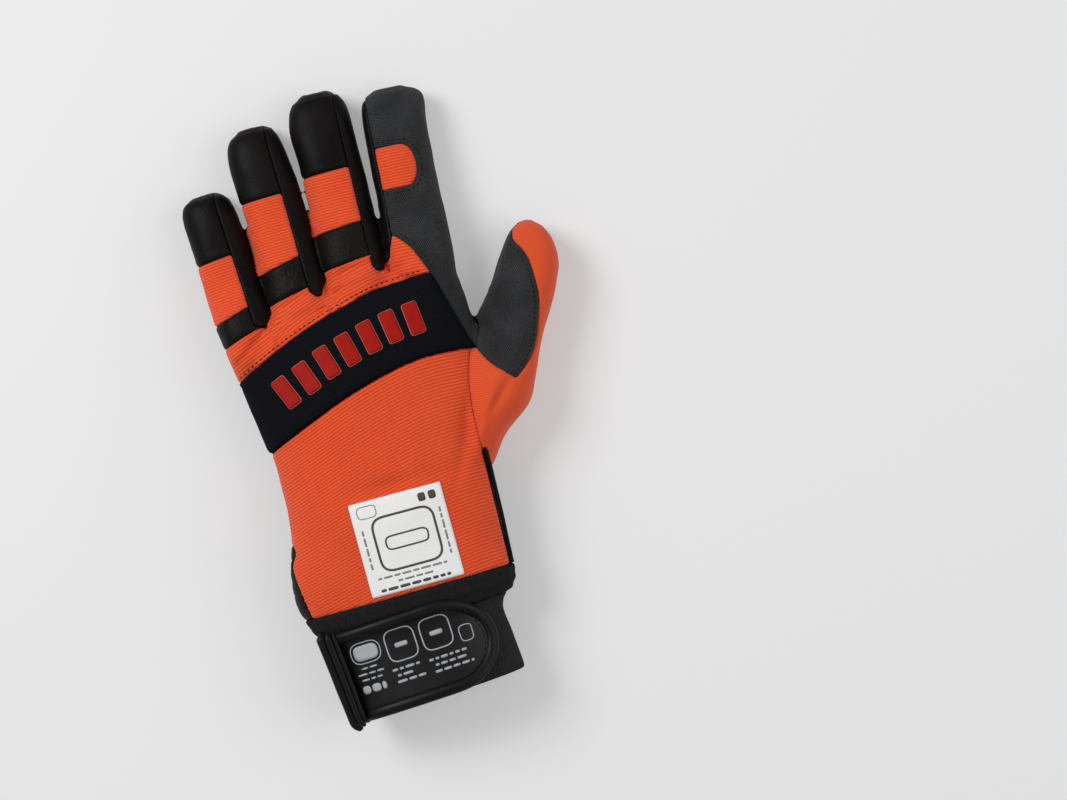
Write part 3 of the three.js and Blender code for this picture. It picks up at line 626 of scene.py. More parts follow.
elastic_knit = matt_cloth("elastic_knit", (0.0045, 0.0043, 0.0043), (0.021, 0.02, 0.0205),
                          1800.0, (1.0, 0.5, 1.0), 0.7, 1.5)
cuff_cloth = matt_cloth("cuff_knit_cloth", (0.006, 0.0058, 0.0058), (0.036, 0.035, 0.036),
                        1800.0, (1.0, 0.6, 1.0), 0.8, 1.5)
BAND_FOOT = (-13.05, -13.05)
WRIST_SEAM = (5.0, -5.3)  # where it crosses x = -110 and x = 110
RUCK_HEIGHT, WELT_HEIGHT, WELT_PITCH = 0.2, 0.16, 5.2  # gathers and rows of the elastic


def all_round(y_foot, y_top):
    """Outlines right round the glove between two heights, each outer and inner."""
    outline = [(-110, y_foot[0]), (110, y_foot[1]), (110, y_top[1]), (-110, y_top[0])]
    return {"upper": outline, "lower": outline}


past_cuff = cut_panel(all_round((-90, -90), (-CUFF_LENGTH, -CUFF_LENGTH)))
past_cuff.free()
sew("cuff_knit", all_round((-90, -90), BAND_FOOT), (0.7, 2.0), cuff_cloth, "cuff",
    thickness=2.0)
patch = cut_panel(all_round((-40, -40), WRIST_SEAM))
for vert in patch.verts:
    ruck = math.sin(vert.co.x * 1.1 + 0.5 * vert.co.y + 6 * noise.noise(vert.co * 0.07))
    welt = math.cos((vert.co.y + 0.05 * vert.co.x + 1.2) * 2 * math.pi / WELT_PITCH)
    vert.co += vert.normal * (RUCK_HEIGHT * ruck + WELT_HEIGHT * welt)
turn_in(patch, 1.1, 3.0)
dress("wrist_band_knit", patch, elastic_knit, ["wrist_band"], 2.0)

# Finger gussets
# A strip of smooth leather runs down the side of each finger, round the crotch and up the
# next one. Its back seam stands as a soft roll beside the finger's cap and knit.


def leather(name, dark, light, grain, relief, rough, shine, pleats=0.0):
    """Soft leather: pores and creases in three sizes, duller in cloudy patches."""
    paint = Paint(name)
    place = paint.place()
    pores = paint.add("TexVoronoi", {"Vector": place, "Scale": 1000 / grain}, feature="SMOOTH_F1")
    cloud = paint.noise(place, 55.0, 3.0)
    height = paint.plus(paint.times(pores.outputs["Distance"], 0.8),
                        paint.times(paint.noise(place, 420.0, 4.0), 0.6))
    if pleats:
        wave = paint.sine(paint.axes(paint.flat())["X"], 2 * math.pi * 100 / pleats)
        height = paint.plus(height, paint.times(wave, 0.9))
    paint.relief(height, relief)
    return paint.finish(cloud, dark, light, paint.plus(paint.times(cloud, 0.22), rough), shine)


smooth_leather = leather("smooth_leather", (0.002, 0.0016, 0.0015), (0.0065, 0.0053, 0.005),
                         0.7, 0.28, 0.38, 0.075)
CROTCHES = (("little", "ring", 0.0), ("ring", "middle", 0.05), ("middle", "index", 0.085))
for near, far, foot in CROTCHES:
    a, b = FINGERS[near], FINGERS[far]
    upper = [finger_spot(a, along, a["seam"]) for along in (1.15, 0.9, 0.5, foot + 0.05)]
    toe = (finger_spot(a, foot, a["seam"]) + finger_spot(b, foot, -1.0)) / 2
    upper += [toe + Vector((-1.2, 0.3)), toe + Vector((1.0, 0)), finger_spot(b, foot + 0.06, -0.99)]
    upper += [finger_spot(b, along, b["inner"]) for along in (0.24, 0.5, 0.9, 1.15)]
    lower = [finger_spot(a, along, 0.72) for along in (1.15, 0.5, -0.03)]
    lower += [finger_spot(b, along, -0.74) for along in (-0.03, 0.5, 1.15)]
    node = "gusset_%s_%s" % (near, far)
    sew(node + "_leather", {"upper": upper, "lower": lower}, (1.0, 2.6, 0.2), smooth_leather, node)

# Finger backs
# Each of three fingers has a smooth leather cap, a ribbed knit panel and a pebbled leather
# band over its knuckle, sewn end to end and into the gusset.


def knit(name, ridge, shaded_groove, pitch, turn=0.0, relief=0.55):
    """Ribbed stretch knit: ribs across V, fine wales across U. Its grooves are coloured darker than its
    ridges: painted shade between the ribs.
    """
    paint = Paint(name)
    flat = paint.flat()
    x, y, _ = paint.axes(paint.add("Mapping", {"Vector": flat, "Rotation": (0, 0, turn)}).outputs[0])
    turns = 2 * math.pi * 100 / pitch
    bent = paint.plus(y, paint.times(paint.noise(flat, 22.0, 2.0), 0.004))
    rib = paint.plus(paint.times(paint.sine(bent, turns), 0.5), 0.5)
    wale = paint.times(paint.sine(x, turns * 2.3), 0.16)
    height = paint.plus(paint.math("POWER", rib, 0.7), wale)
    # The colour follows the ribs' height, so the grooves carry painted shade; the slow noise is the cloth's
    # uneven tone.
    tone = paint.plus(paint.times(height, 0.8), paint.times(paint.noise(flat, 6.0, 3.0), 0.35))
    paint.relief(height, relief)
    paint.shader.inputs["Sheen Weight"].default_value = 0.15
    paint.shader.inputs["Sheen Roughness"].default_value = 0.5
    return paint.finish(paint.math("SUBTRACT", tone, 0.08), shaded_groove, ridge, 0.88, 0.15)


# The second, darker colour of each knit is painted shade in its grooves.
knit_back = knit("ribbed_knit", (0.84, 0.105, 0.027), (0.52, 0.034, 0.01), 1.4)
knit_fingers = knit("fine_ribbed_knit", (0.84, 0.105, 0.027), (0.54, 0.036, 0.011), 1.2)
pebbled_leather = leather("pebbled_leather", (0.0025, 0.002, 0.0017), (0.0085, 0.0072, 0.006),
                          1.15, 0.75, 0.4, 0.09)
FINGER_SEAMS = {
    "little": dict(cap=(0.55, 0.565), band_top=(0.1, 0.2), band=(-0.07, 0.03)),
    "ring": dict(cap=(0.635, 0.635), band_top=(0.235, 0.305), band=(0.07, 0.135)),
    "middle": dict(cap=(0.62, 0.63), band_top=(0.325, 0.36), band=(0.14, 0.187)),
}


def finger_slice(finger, start, end):
    """Right across a finger between two seams, each given at its outer and inner end."""
    inner = finger["seam"] + 0.3
    corners = ((start[0], -1.6), (start[1], inner), (end[1], inner), (end[0], -1.6))
    return {"upper": [finger_spot(finger, *corner) for corner in corners]}


def finger_axes(finger, p):
    """How far a point lies out and up, measured along the finger's lean."""
    lean = math.radians(finger["lean"])
    return p.x * math.cos(lean) - p.y * math.sin(lean), p.x * math.sin(lean) + p.y * math.cos(lean)


def finger_uv(finger):
    """Ribs run straight across the finger."""
    return (lambda p: finger_axes(finger, p)[0] - 0.6 * p.z, lambda p: finger_axes(finger, p)[1])


for name, seams in FINGER_SEAMS.items():
    finger = FINGERS[name]
    sew("cap_%s_leather" % name, finger_slice(finger, seams["cap"], (1.2, 1.2)), (0.9, 2.4),
        smooth_leather, "cap_" + name)
    sew("back_%s_knit" % name, finger_slice(finger, seams["band_top"], seams["cap"]),
        (0.8, 2.0, 0.2), knit_fingers, "back_" + name, finger_uv(finger))
    sew("band_%s_leather" % name, finger_slice(finger, seams["band"], seams["band_top"]), (0.7, 2.0),
        pebbled_leather, "band_" + name)

# Knuckle bar
# A padded bar of blue-black neoprene lies across the knuckles. A thin welt runs inside its
# lower edge, and its skin is slightly swollen by the foam between the seams.
bar_face = matt_cloth("neoprene_face", (0.0022, 0.0023, 0.0038), (0.006, 0.0063, 0.0095),
                      2600.0, (1, 1, 1), 0.25)
BAR_TOP = [(-0.7, 0.79), (-0.5, 0.852), (-0.3, 0.914), (-0.1, 0.962), (0.1, 0.994), (0.25, 1.001),
           (0.392, 0.996)]
BAR_BOTTOM = [(-0.7, 0.535), (-0.49, 0.588), (-0.3, 0.638), (-0.1, 0.688), (0.1, 0.722),
              (0.25, 0.733), (0.4, 0.722), (0.468, 0.714)]
BAR_LIFT = 1.2
SIM_SCALE, SIM_STEPS = 0.01, 18


def spaced(line, count):
    """Count + 1 points at even distances along a line."""
    lengths = [0.0]
    for a, b in zip(line, line[1:]):
        lengths.append(lengths[-1] + (b - a).length)
    points, i = [], 0
    for step in range(count + 1):
        at = lengths[-1] * step / count
        while i < len(line) - 2 and lengths[i + 1] < at:
            i += 1
        t = (at - lengths[i]) / max(1e-9, lengths[i + 1] - lengths[i])
        points.append(line[i].lerp(line[i + 1], t))
    return points


def curve_through(spots, count, closed=False):
    """Evenly spaced points on a smooth line through spots in the plan."""
    spots = [Vector(spot) for spot in spots]
    size = len(spots)
    legs = size if closed else size - 1
    pick = (lambda i: spots[i % size]) if closed else (lambda i: spots[max(0, min(size - 1, i))])
    fine = []
    for i in range(legs):
        p0, p1, p2, p3 = pick(i - 1), pick(i), pick(i + 1), pick(i + 2)
        for step in range(12):
            t = step / 12
            fine.append(0.5 * (2 * p1 + (p2 - p0) * t + (2 * p0 - 5 * p1 + 4 * p2 - p3) * t * t
                               + (3 * p1 - p0 - 3 * p2 + p3) * t**3))
    fine.append(pick(legs))
    return spaced(fine, count)[:count] if closed else spaced(fine, count)


def spots_on_palm(shares):
    return [palm_spot(x, y) for x, y in shares]


def swell(patch, held_within, pressure, most):
    """Foam fills a pad: its cloth moves under pressure, held along its seams. The move is capped."""
    near = edge_distances(patch, held_within)
    patch.verts.index_update()
    held = [vert.index for vert in near]
    sheet = new_object("swelling", patch.copy(), Matrix.Scale(SIM_SCALE, 4))
    sheet.vertex_groups.new(name="sewn").add(held, 1.0, "REPLACE")
    cloth = sheet.modifiers.new("cloth", "CLOTH")
    cloth.settings.quality = 4
    cloth.settings.mass = 0.3
    cloth.settings.vertex_group_mass = "sewn"
    cloth.settings.use_pressure = True
    cloth.settings.uniform_pressure_force = pressure
    cloth.settings.effector_weights.gravity = 0
    cloth.collision_settings.use_collision = False
    for step in range(1, SIM_STEPS + 1):
        bpy.context.scene.frame_set(step)
    moved = sheet.evaluated_get(bpy.context.evaluated_depsgraph_get()).data.vertices
    for vert, after in zip(patch.verts, moved):
        move = after.co / SIM_SCALE - vert.co
        vert.co += move * min(1.0, most / max(move.length, 1e-6))
    bpy.context.scene.frame_set(1)
    bpy.data.meshes.remove(sheet.data)
    patch.normal_update()


bar_top = curve_through(spots_on_palm(BAR_TOP), 60)
bar_bottom = curve_through(spots_on_palm(BAR_BOTTOM), 60)
patch = cut_panel({"upper": bar_top + bar_bottom[::-1]})
for vert in patch.verts:
    vert.co += vert.normal * BAR_LIFT
turn_in(patch, 1.5, 3.2, 0.1)
swell(patch, 2.0, 3.0, 0.6)
dress("knuckle_bar_pad", patch, bar_face, ["knuckle_bar"], 2.6)

# Rubber blocks on the bar
# A row of seven plain red blocks of soft rubber. A thin pale plate under each shows as an
# edge all round: a painted highlight along the blocks' rims. They are printed and pressed on the bar and
# lean with its curve.
MARK_COUNT, MARK_WIDE, MARK_TALL = 7, 6.2, 13.5
MARK_START, MARK_SPAN = -33.5, 60.0
MARK_TURN, MARK_UNTURN = 20, 17  # degrees of the first, and how far the last is turned back
MARK_HIGHLIGHT = 0.5  # how far the painted highlight shows round a block, both sides together
PLATE_BORDER = 0.45  # share of its height that a plate keeps at its border


def plain(name, colour, rough, variation=0.12):
    """Moulded rubber or print: one colour with slight clouds and fine pits."""
    paint = Paint(name)
    cloud = paint.noise(paint.place(), 300.0, 4.0)
    paint.relief(cloud, 0.15, 0.0002)
    return paint.finish(cloud, [value * (1 - variation) for value in colour], colour, rough, 0.1)


red_rubber = plain("red_rubber", (0.42, 0.008, 0.0035), 0.55, 0.45)
# Pale orange for the plates round the red blocks: a painted highlight on the blocks' rims.
highlight_rim = plain("painted_rim_highlight", (0.62, 0.17, 0.12), 0.6)


def touch(spot, side="upper"):
    """Where a plumb line meets the outermost skin dressed so far, and the normal there."""
    if touch.count != len(skin_faces):
        touch.tree = BVHTree.FromPolygons(skin_points, skin_faces)
        touch.count = len(skin_faces)
    up = 1 if side == "upper" else -1
    hit, normal, _, _ = touch.tree.ray_cast(Vector((spot[0], spot[1], 90.0 * up)), Vector((0, 0, -up)))
    if hit is None:
        return None, None
    return hit, (-normal if normal.z * up < 0 else normal)


touch.count = -1


def laid_plate(mesh, centre, size, turn, corner, lift, cell=1.2, roll=0.2):
    """A thin plate with rounded corners that follows what lies below it in the plan."""
    half = (size[0] / 2, size[1] / 2)
    steps = [max(2, round(length / cell)) for length in size]
    grid = bmesh.ops.create_grid(mesh, x_segments=steps[0], y_segments=steps[1], size=1)["verts"]
    swing = Matrix.Rotation(turn, 2)
    for vert in grid:
        x, y = vert.co.x * half[0], vert.co.y * half[1]
        over = Vector((abs(x) - half[0] + corner, abs(y) - half[1] + corner))
        if over.x > 0 and over.y > 0:
            over *= max(over) / over.length
            x = math.copysign(half[0] - corner + over.x, x)
            y = math.copysign(half[1] - corner + over.y, y)
        inside = min(half[0] - abs(x), half[1] - abs(y))
        near = max(0.0, 1 - inside / roll)
        dome = math.sqrt(max(0.0, 1 - near * near))
        hit, normal = touch(Vector(centre) + swing @ Vector((x, y)))
        vert.co = hit + normal * lift * (PLATE_BORDER + (1 - PLATE_BORDER) * dome)


marks = []
for i in range(MARK_COUNT):
    x = MARK_START + i * MARK_SPAN / (MARK_COUNT - 1)
    top = min(bar_top, key=lambda point: abs(point.x - x)).y
    bottom = min(bar_bottom, key=lambda point: abs(point.x - x)).y
    turn = math.radians(MARK_TURN - MARK_UNTURN * i / (MARK_COUNT - 1))
    marks.append(((x, (top + bottom) / 2), turn))
# Each block lies on a slightly larger pale plate, which paints a highlight round its rim.
highlight_plate, blocks = bmesh.new(), [bmesh.new() for _ in marks]
for block, (centre, turn) in zip(blocks, marks):
    edged = (MARK_WIDE + MARK_HIGHLIGHT, MARK_TALL + MARK_HIGHLIGHT)
    laid_plate(highlight_plate, centre, edged, turn, 1.2, 0.35, 0.7, 0.5)
    laid_plate(block, centre, (MARK_WIDE, MARK_TALL), turn, 1.0, 0.85, 0.5, 0.5)
dress("block_highlight_plates", highlight_plate, highlight_rim, [], 0.5)
for i, block in enumerate(blocks):
    dress("rubber_block_%d" % (i + 1), block, red_rubber, ["mark_%d" % (i + 1)], 0.9)

# Knuckle strip and back panel
# Two panels of the ribbed stretch knit, one between the bar and the fingers and one over the
# back of the hand. Their ribs follow the bar, and the cloth gathers a little at the seams.
THUMB_SEAM = [(0.45, 0.714), (0.41, 0.632), (0.385, 0.552), (0.373, 0.472), (0.366, 0.384)]
SIDE_SEAM = [(0.366, 0.384), (0.355, 0.296), (0.342, 0.176), (0.329, 0.056), (0.32, -0.035)]
OUTER_SEAM = [(-0.54, 0.02), (-0.555, 0.176), (-0.545, 0.216), (-0.52, 0.264), (-0.6, 0.36)]
INDEX_SEAM = [(0.392, 0.996), (0.37, 1.052), (0.348, 1.096), (0.31, 1.138), (0.275, 1.164)]
ARC_BASE = 91  # where the bar's lower edge is this high, the ribs run straight across
GATHER_REACH, GATHER_LIFT = 22, 0.85


def rib_arc(x):
    """How far the ribs bend down with the bar's lower edge at a place across the hand."""
    if x <= bar_bottom[0].x:
        return bar_bottom[0].y - ARC_BASE
    for a, b in zip(bar_bottom, bar_bottom[1:]):
        if x <= b.x:
            return a.y + (b.y - a.y) * (x - a.x) / (b.x - a.x) - ARC_BASE
    return bar_bottom[-1].y - ARC_BASE


def arc_uv(patch):
    plan_uv(patch, lambda p: p.x, lambda p: p.y - rib_arc(p.x) * (0.55 + 0.45 * min(1, p.y / 80)))


index_seam = curve_through(spots_on_palm(INDEX_SEAM), 20)
strip = bar_top + index_seam[1:] + spots_on_palm([(0.2, 1.3), (-0.7, 1.3)])
patch = cut_panel({"upper": strip})
arc_uv(patch)
for _, far, crotch in CROTCHES:
    foot = finger_spot(FINGERS[far], crotch - 0.04, -1.0)
    for vert in patch.verts:
        away = vert.co.xy - foot
        reach = away.length
        if reach < GATHER_REACH:
            spokes = math.cos(6 * math.atan2(away.y, away.x) + 2 * noise.noise(vert.co * 0.1))
            fade = min(1.0, reach / 4) * math.exp(-((reach / 11) ** 2))
            vert.co += vert.normal * GATHER_LIFT * spokes * fade
patch.normal_update()
turn_in(patch, 0.85, 2.0, 0.3)
dress("knuckle_strip_knit", patch, knit_back, ["knuckle_strip"], 1.8)
thumb_seam = curve_through(spots_on_palm(THUMB_SEAM), 24)
side_seam = curve_through(spots_on_palm(SIDE_SEAM), 24)
back = [point for point in bar_bottom if point.x < 44] + thumb_seam + side_seam[1:]
back += [Vector((-54.1, -4.0))] + curve_through(spots_on_palm(OUTER_SEAM), 20)
patch = cut_panel({"upper": back})
arc_uv(patch)
turn_in(patch, 0.85, 2.2, 0.18)
dress("back_panel_knit", patch, knit_back, ["back_panel"], 1.8)

# Thumb
# The thumb's back and outer edge are one piece of finer knit, cut on the slant and set into
# the hand as a gusset. A leaf of charcoal woven synthetic covers its inner side to the web.
# Its darker second colour is painted shade in the grooves between the ribs.
knit_gusset = knit("thumb_gusset_knit", (0.8, 0.105, 0.028), (0.55, 0.045, 0.013), 0.9,
                   turn=0.85, relief=0.35)
LEAF_SEAM = [(0.97, -0.62), (0.89, -0.5), (0.85, -0.13), (0.8, 0.16), (0.71, 0.48), (0.6, 0.78),
             (0.47, 0.94), (0.37, 1.03), (0.29, 1.02), (0.2, 0.89), (0.12, 0.7)]
LEAF_FOOT = [(0.144, 0.23), (0.171, -0.22), (0.21, -0.58), (0.236, -0.79)]
LEAF_SLANT = (0.84, 0.54)


def spots_on_thumb(shares):
    return [thumb_spot(along, side) for along, side in shares]


def woven(name, dark, light, pitch, relief, rough):
    """A close plain weave: threads over and under, on the piece's own UV map, with broad clouds of painted
    highlight and shade standing for the cloth's folds.
    """
    paint = Paint(name)
    flat = paint.flat()
    x, y, _ = paint.axes(flat)
    turns = 2 * math.pi * 100 / pitch
    over = paint.times(paint.sine(x, turns), paint.sine(y, turns))
    # Broad clouds lighten and darken the cloth: painted highlights and shade of its folds, laid at random
    # places.
    cloud = paint.math("SUBTRACT", paint.noise(flat, 7.0, 3.0), 0.5)
    height = paint.plus(paint.times(over, 0.9), paint.noise(flat, 90.0, 4.0))
    paint.relief(height, relief, 0.0002)
    paint.shader.inputs["Sheen Weight"].default_value = 0.05
    tone = paint.plus(paint.times(height, 0.75), paint.times(cloud, 1.1))
    return paint.finish(tone, dark, light, rough, 0.15)


charcoal_weave = woven("charcoal_weave", (0.006, 0.0063, 0.007), (0.05, 0.051, 0.054), 1.05, 0.8, 0.68)
leaf_seam = curve_through(spots_on_thumb(LEAF_SEAM), 44)
leaf_foot = curve_through(spots_on_thumb(LEAF_FOOT), 16)
over = leaf_foot[::-1] + leaf_seam[::-1] + spots_on_thumb([(1.3, -0.6), (1.3, 3), (-0.6, 4)])
over += spots_on_palm([(0.45, 0.325), (0.41, 0.315), (0.385, 0.312), (0.353, 0.33)])
over += thumb_seam[::-1][1:]
under = spots_on_thumb([(1.3, 0.2), (0.93, 0.45), (0.8, 0.7), (0.4, 0.72), (0.1, 0.8), (-0.22, 0.52),
                        (-0.39, 0.5), (-0.45, 3), (1.3, 3)])
sew("thumb_back_knit", {"upper": over, "lower": under}, (0.8, 2.2, 0.2), knit_gusset, "thumb_back",
    (lambda p: p.x - 0.8 * p.z, lambda p: p.y - 0.8 * p.z))
leaf = leaf_seam + leaf_foot + spots_on_palm([(0.51, 0.78), (0.505, 0.9)]) + [thumb_spot(0.7, -2)]
sew("thumb_leaf_cloth", {"upper": leaf}, (0.8, 2.2, 0.15), charcoal_weave, "thumb_leaf",
    (lambda p: LEAF_SLANT[0] * p.x - LEAF_SLANT[1] * p.y,
     lambda p: LEAF_SLANT[1] * p.x + LEAF_SLANT[0] * p.y))

# Index finger
# Charcoal woven synthetic wraps the whole index finger. A round-ended window of ribbed knit is
# let into its back, and two slots of pebbled leather into its underside.
index = FINGERS["index"]
SLOTS = {"upper": 0.575, "lower": 0.3}
SLOT_HALF, SLOT_END = 0.035, 0.45
WINDOW_MIDDLE, WINDOW_HALF = 0.61, 0.115


def index_spots(shares):
    return [finger_spot(index, along, side) for along, side in shares]


def slot_outline(along, grow=0.0):
    """A round-ended slot across the finger's underside; grow widens it, in millimetres."""
    half = SLOT_HALF + grow / index["length"]
    wide = half * index["length"] / (index["width"] / 2)
    end = [math.radians(degrees) for degrees in range(-90, 91, 18)]
    round_end = [(along + half * math.sin(a), SLOT_END + wide * math.cos(a)) for a in end]
    return index_spots([(along - half, -0.95)] + round_end + [(along + half, -0.95)])


window = [(0.495, -1.4)]
for degrees in range(-90, 91, 15):
    turn = math.radians(degrees)
    window.append((WINDOW_MIDDLE + WINDOW_HALF * math.sin(turn), 0.05 + 0.42 * math.cos(turn)))
window.append((0.725, -1.4))
sew("index_window_knit", {"upper": index_spots(window)}, (0.8, 2.0, 0.15), knit_fingers,
    "index_window", finger_uv(index))
for name, along in SLOTS.items():
    node = "index_slot_" + name
    sew(node + "_leather", {"lower": slot_outline(along)}, (0.7, 1.6), pebbled_leather, node)
over = index_seam + index_spots([(0.3, -1.6), (1.25, -1.6), (1.25, 2.2), (0, 2.2)])
over += spots_on_palm([(0.53, 0.9), (0.502, 0.8), (0.51, 0.77), (0.47, 0.714)])
under = index_spots([(1.25, -0.95), (0.05, -0.95), (-0.02, -0.6)])
under += spots_on_palm([(0.36, 0.92), (0.41, 0.85), (0.42, 0.76), (0.53, 0.79), (0.53, 0.9)])
under += index_spots([(0, 2.2), (1.25, 2.2)])
sew("index_wrap_cloth", {"upper": over, "lower": under}, (0.8, 2.2, 0.12), charcoal_weave,
    "index_wrap", (lambda p: p.x - 0.6 * p.z, lambda p: p.y - 0.8 * p.z))

# Palm leather
# One hide makes the palm, the undersides of the fingers and the thumb, and a narrow border at
# the little-finger side of the back. It is grained, and creased where the hand closes.
palm_grain = leather("palm_leather", (0.004, 0.0035, 0.0034), (0.012, 0.011, 0.0105),
                     1.0, 0.5, 0.45, 0.12, 1.7)
PLEATS = {"little": (0.2, 0.56), "ring": (0.16, 0.66), "middle": (0.16, 0.66)}
PLEAT_HALF, PLEAT_TOP = 9.5, 7
HIDE_DROP, CREASE_HEIGHT = 0.3, 0.35


def pleat_run(p):
    """Across the pleats under a finger; still elsewhere, so that no pleats show there."""
    for name, (start, end) in PLEATS.items():
        finger = FINGERS[name]
        out, up = finger_axes(finger, p.xy - finger_spot(finger, 0, 0))
        if start < up / finger["length"] < end and abs(out) < PLEAT_HALF and p.z < PLEAT_TOP:
            return out
    return 0.0


patch = bmesh.new()
for rest in rest_of.values():
    take_mesh(patch, rest)
skin_of(patch)
for vert in patch.verts:
    crease = abs(noise.noise(Vector((vert.co.x * 0.09, vert.co.y * 0.14, 3.0))))
    vert.co += vert.normal * (CREASE_HEIGHT * min(1.0, crease * 5) - HIDE_DROP)
    vert.co.z = max(REST_HEIGHT - HIDE_DROP, vert.co.z)
plan_uv(patch, pleat_run, lambda p: p.y)
turn_in(patch, 0.8, 2.2, 0.2)
dress("palm_leather_hide", patch, palm_grain, ["palm_leather"], 1.8)

# Palm pads and fingertip patches
# Foam pads under woven synthetic on the heel and across the palm, with lobes up two fingers,
# and flat patches of the same cloth at the fingertips and halfway along two fingers.
pad_cloth = woven("pad_weave", (0.005, 0.0055, 0.0065), (0.036, 0.038, 0.044), 1.15, 0.9, 0.62)
PAD_THICKNESS, PAD_GAP = 1.7, 0.3
PAD_ROWS = (1.3, 3.5)  # how far the two rows of stitches lie inside the border
PAD_FLANGE, PAD_DROP, PATCH_DROP = 4.3, 0.9, 0.4
RISE_WIDTH = 2.4  # from the flange to the pad's full height
DENT, DENT_HALF = 0.28, 0.55  # under a row of stitches
TUCK, TUCK_WIDTH = 0.55, 0.9  # at the very border
HEEL_PAD_OUTER = [(-0.43, 0.7), (-0.13, 0.7), (-0.1, 0.66), (-0.15, 0.56), (-0.19, 0.46),
                  (-0.205, 0.32), (-0.215, 0.22), (-0.27, 0.155), (-0.38, 0.16), (-0.44, 0.24),
                  (-0.46, 0.4), (-0.45, 0.6)]
HEEL_PAD_INNER = [(-0.03, 0.71), (0.2, 0.7), (0.34, 0.685), (0.36, 0.62), (0.35, 0.5), (0.3, 0.36),
                  (0.26, 0.22), (0.18, 0.16), (0.05, 0.135), (-0.1, 0.135), (-0.13, 0.18),
                  (-0.115, 0.34), (-0.07, 0.5), (-0.045, 0.6)]
UPPER_PAD_FOOT = [(0.4, 0.84), (0.375, 0.765), (0.32, 0.735), (0.1, 0.75), (-0.15, 0.76),
                  (-0.43, 0.755), (-0.455, 0.8), (-0.45, 0.88)]
LOBE = [(0.0, -0.55), (0.14, -0.5), (0.2, -0.25), (0.2, 0.25), (0.14, 0.5), (0.0, 0.55)]
THUMB_PATCH = [(0.55, -0.85), (0.5, 0.55), (0.8, 0.55), (0.92, 0.3), (1.05, 0.05), (1.05, -0.5),
               (0.8, -0.75)]


def lay_panel(side, outline, lift):
    """The skin of the whole form inside an outline, lifted off it; nothing is cut away."""
    patch = cut_panel({side: outline}, whole_of, False)
    for vert in patch.verts:
        vert.co += vert.normal * lift
    return patch


def quilt(patch, flange, drop, rows):
    """Presses a pad's border into a flat flange, with a dent under each row of stitches."""
    for vert, distance in edge_distances(patch, flange + 3).items():
        rise = max(0.0, min(1.0, (distance - flange) / RISE_WIDTH))
        fall = drop * (1 - rise * rise * (3 - 2 * rise))
        fall += DENT * sum(math.exp(-(((distance - row) / DENT_HALF) ** 2)) for row in rows)
        edge = max(0.0, 1 - distance / TUCK_WIDTH)
        vert.co -= hand_tree.find_nearest(vert.co)[1] * (fall + TUCK * edge * edge)
    patch.normal_update()


def pad(name, outline, node, filled):
    """One pad under the palm, pressed flat where it rests on the table."""
    patch = lay_panel("lower", outline, 0.0)
    plan_uv(patch, lambda p: p.x, lambda p: p.y)
    for vert in patch.verts:
        below = max(0.0, min(1.0, -1.6 * vert.normal.z - 0.15))
        vert.co += vert.normal * (PAD_GAP + PAD_THICKNESS * below)
    if filled:
        quilt(patch, PAD_FLANGE, PAD_DROP, PAD_ROWS)
        swell(patch, 4.6, 2.5, 0.7)
    else:
        quilt(patch, 0.0, PATCH_DROP, PAD_ROWS)
    for vert in patch.verts:
        vert.co.z = max(0.0, vert.co.z)
    piece = dress(name, patch, pad_cloth, [node], 1.5)


ring, middle = FINGERS["ring"], FINGERS["middle"]
upper_pad = spots_on_palm(UPPER_PAD_FOOT) + [finger_spot(ring, *share) for share in LOBE]
upper_pad += [palm_spot(-0.06, 0.93)] + [finger_spot(middle, *share) for share in LOBE]
upper_pad += spots_on_palm([(0.27, 0.93), (0.36, 0.895)])
PADS = {
    "upper": curve_through(upper_pad, 120, True),
    "heel_outer": curve_through(spots_on_palm(HEEL_PAD_OUTER), 80, True),
    "heel_inner": curve_through(spots_on_palm(HEEL_PAD_INNER), 80, True),
}
for name, outline in PADS.items():
    pad("palm_pad_" + name, outline, "pad_" + name, True)
PATCHES = {}
for name, place, start, end in (("little", "tip", 0.58, 1.1), ("ring", "tip", 0.64, 1.1),
                                ("middle", "tip", 0.64, 1.1), ("ring", "mid", 0.37, 0.52),
                                ("middle", "mid", 0.37, 0.52)):
    corners = [(start, -0.66), (start, 0.66), (end, 0.66), (end, -0.66)]
    PATCHES[place + "_patch_" + name] = [finger_spot(FINGERS[name], *share) for share in corners]
PATCHES["tip_patch_thumb"] = spots_on_thumb(THUMB_PATCH)
for name, outline in PATCHES.items():
    pad(name + "_cloth", outline, name, False)

# Hook strap
# A tab of smooth synthetic leather closes over the cuff. A rolled rim runs round it, its face is
# recessed, and a fold of three ridges at the little-finger side sews it down.
strap_skin = leather("strap_synthetic", (0.0025, 0.0025, 0.0028), (0.0065, 0.0065, 0.0072),
                     0.7, 0.16, 0.3, 0.16)
# The face is the rim's synthetic leather coloured about twice as light: painted sheen on the face.
face_skin_painted_sheen = leather("strap_face_painted_sheen", (0.0045, 0.0045, 0.005), (0.0125, 0.0125, 0.0135),
                    0.7, 0.14, 0.26, 0.2)
STRAP_FOOT, STRAP_TOP, STRAP_TIP, STRAP_ROOT = -45.5, -5.6, 17.9, -46.0
RIM_HALF_WIDE, RIM_HALF_HIGH = 2.6, 1.9
FACE_INSET, FACE_LIFT, FACE_WAVE = 3.6, 2.1, 0.3
FOLD_LIFT = 2.2
FOLD_OUTER, FOLD_INNER = -60, -43.5
FOLD_FOOT, FOLD_TOP = STRAP_FOOT - 0.5, STRAP_TOP - 1.5
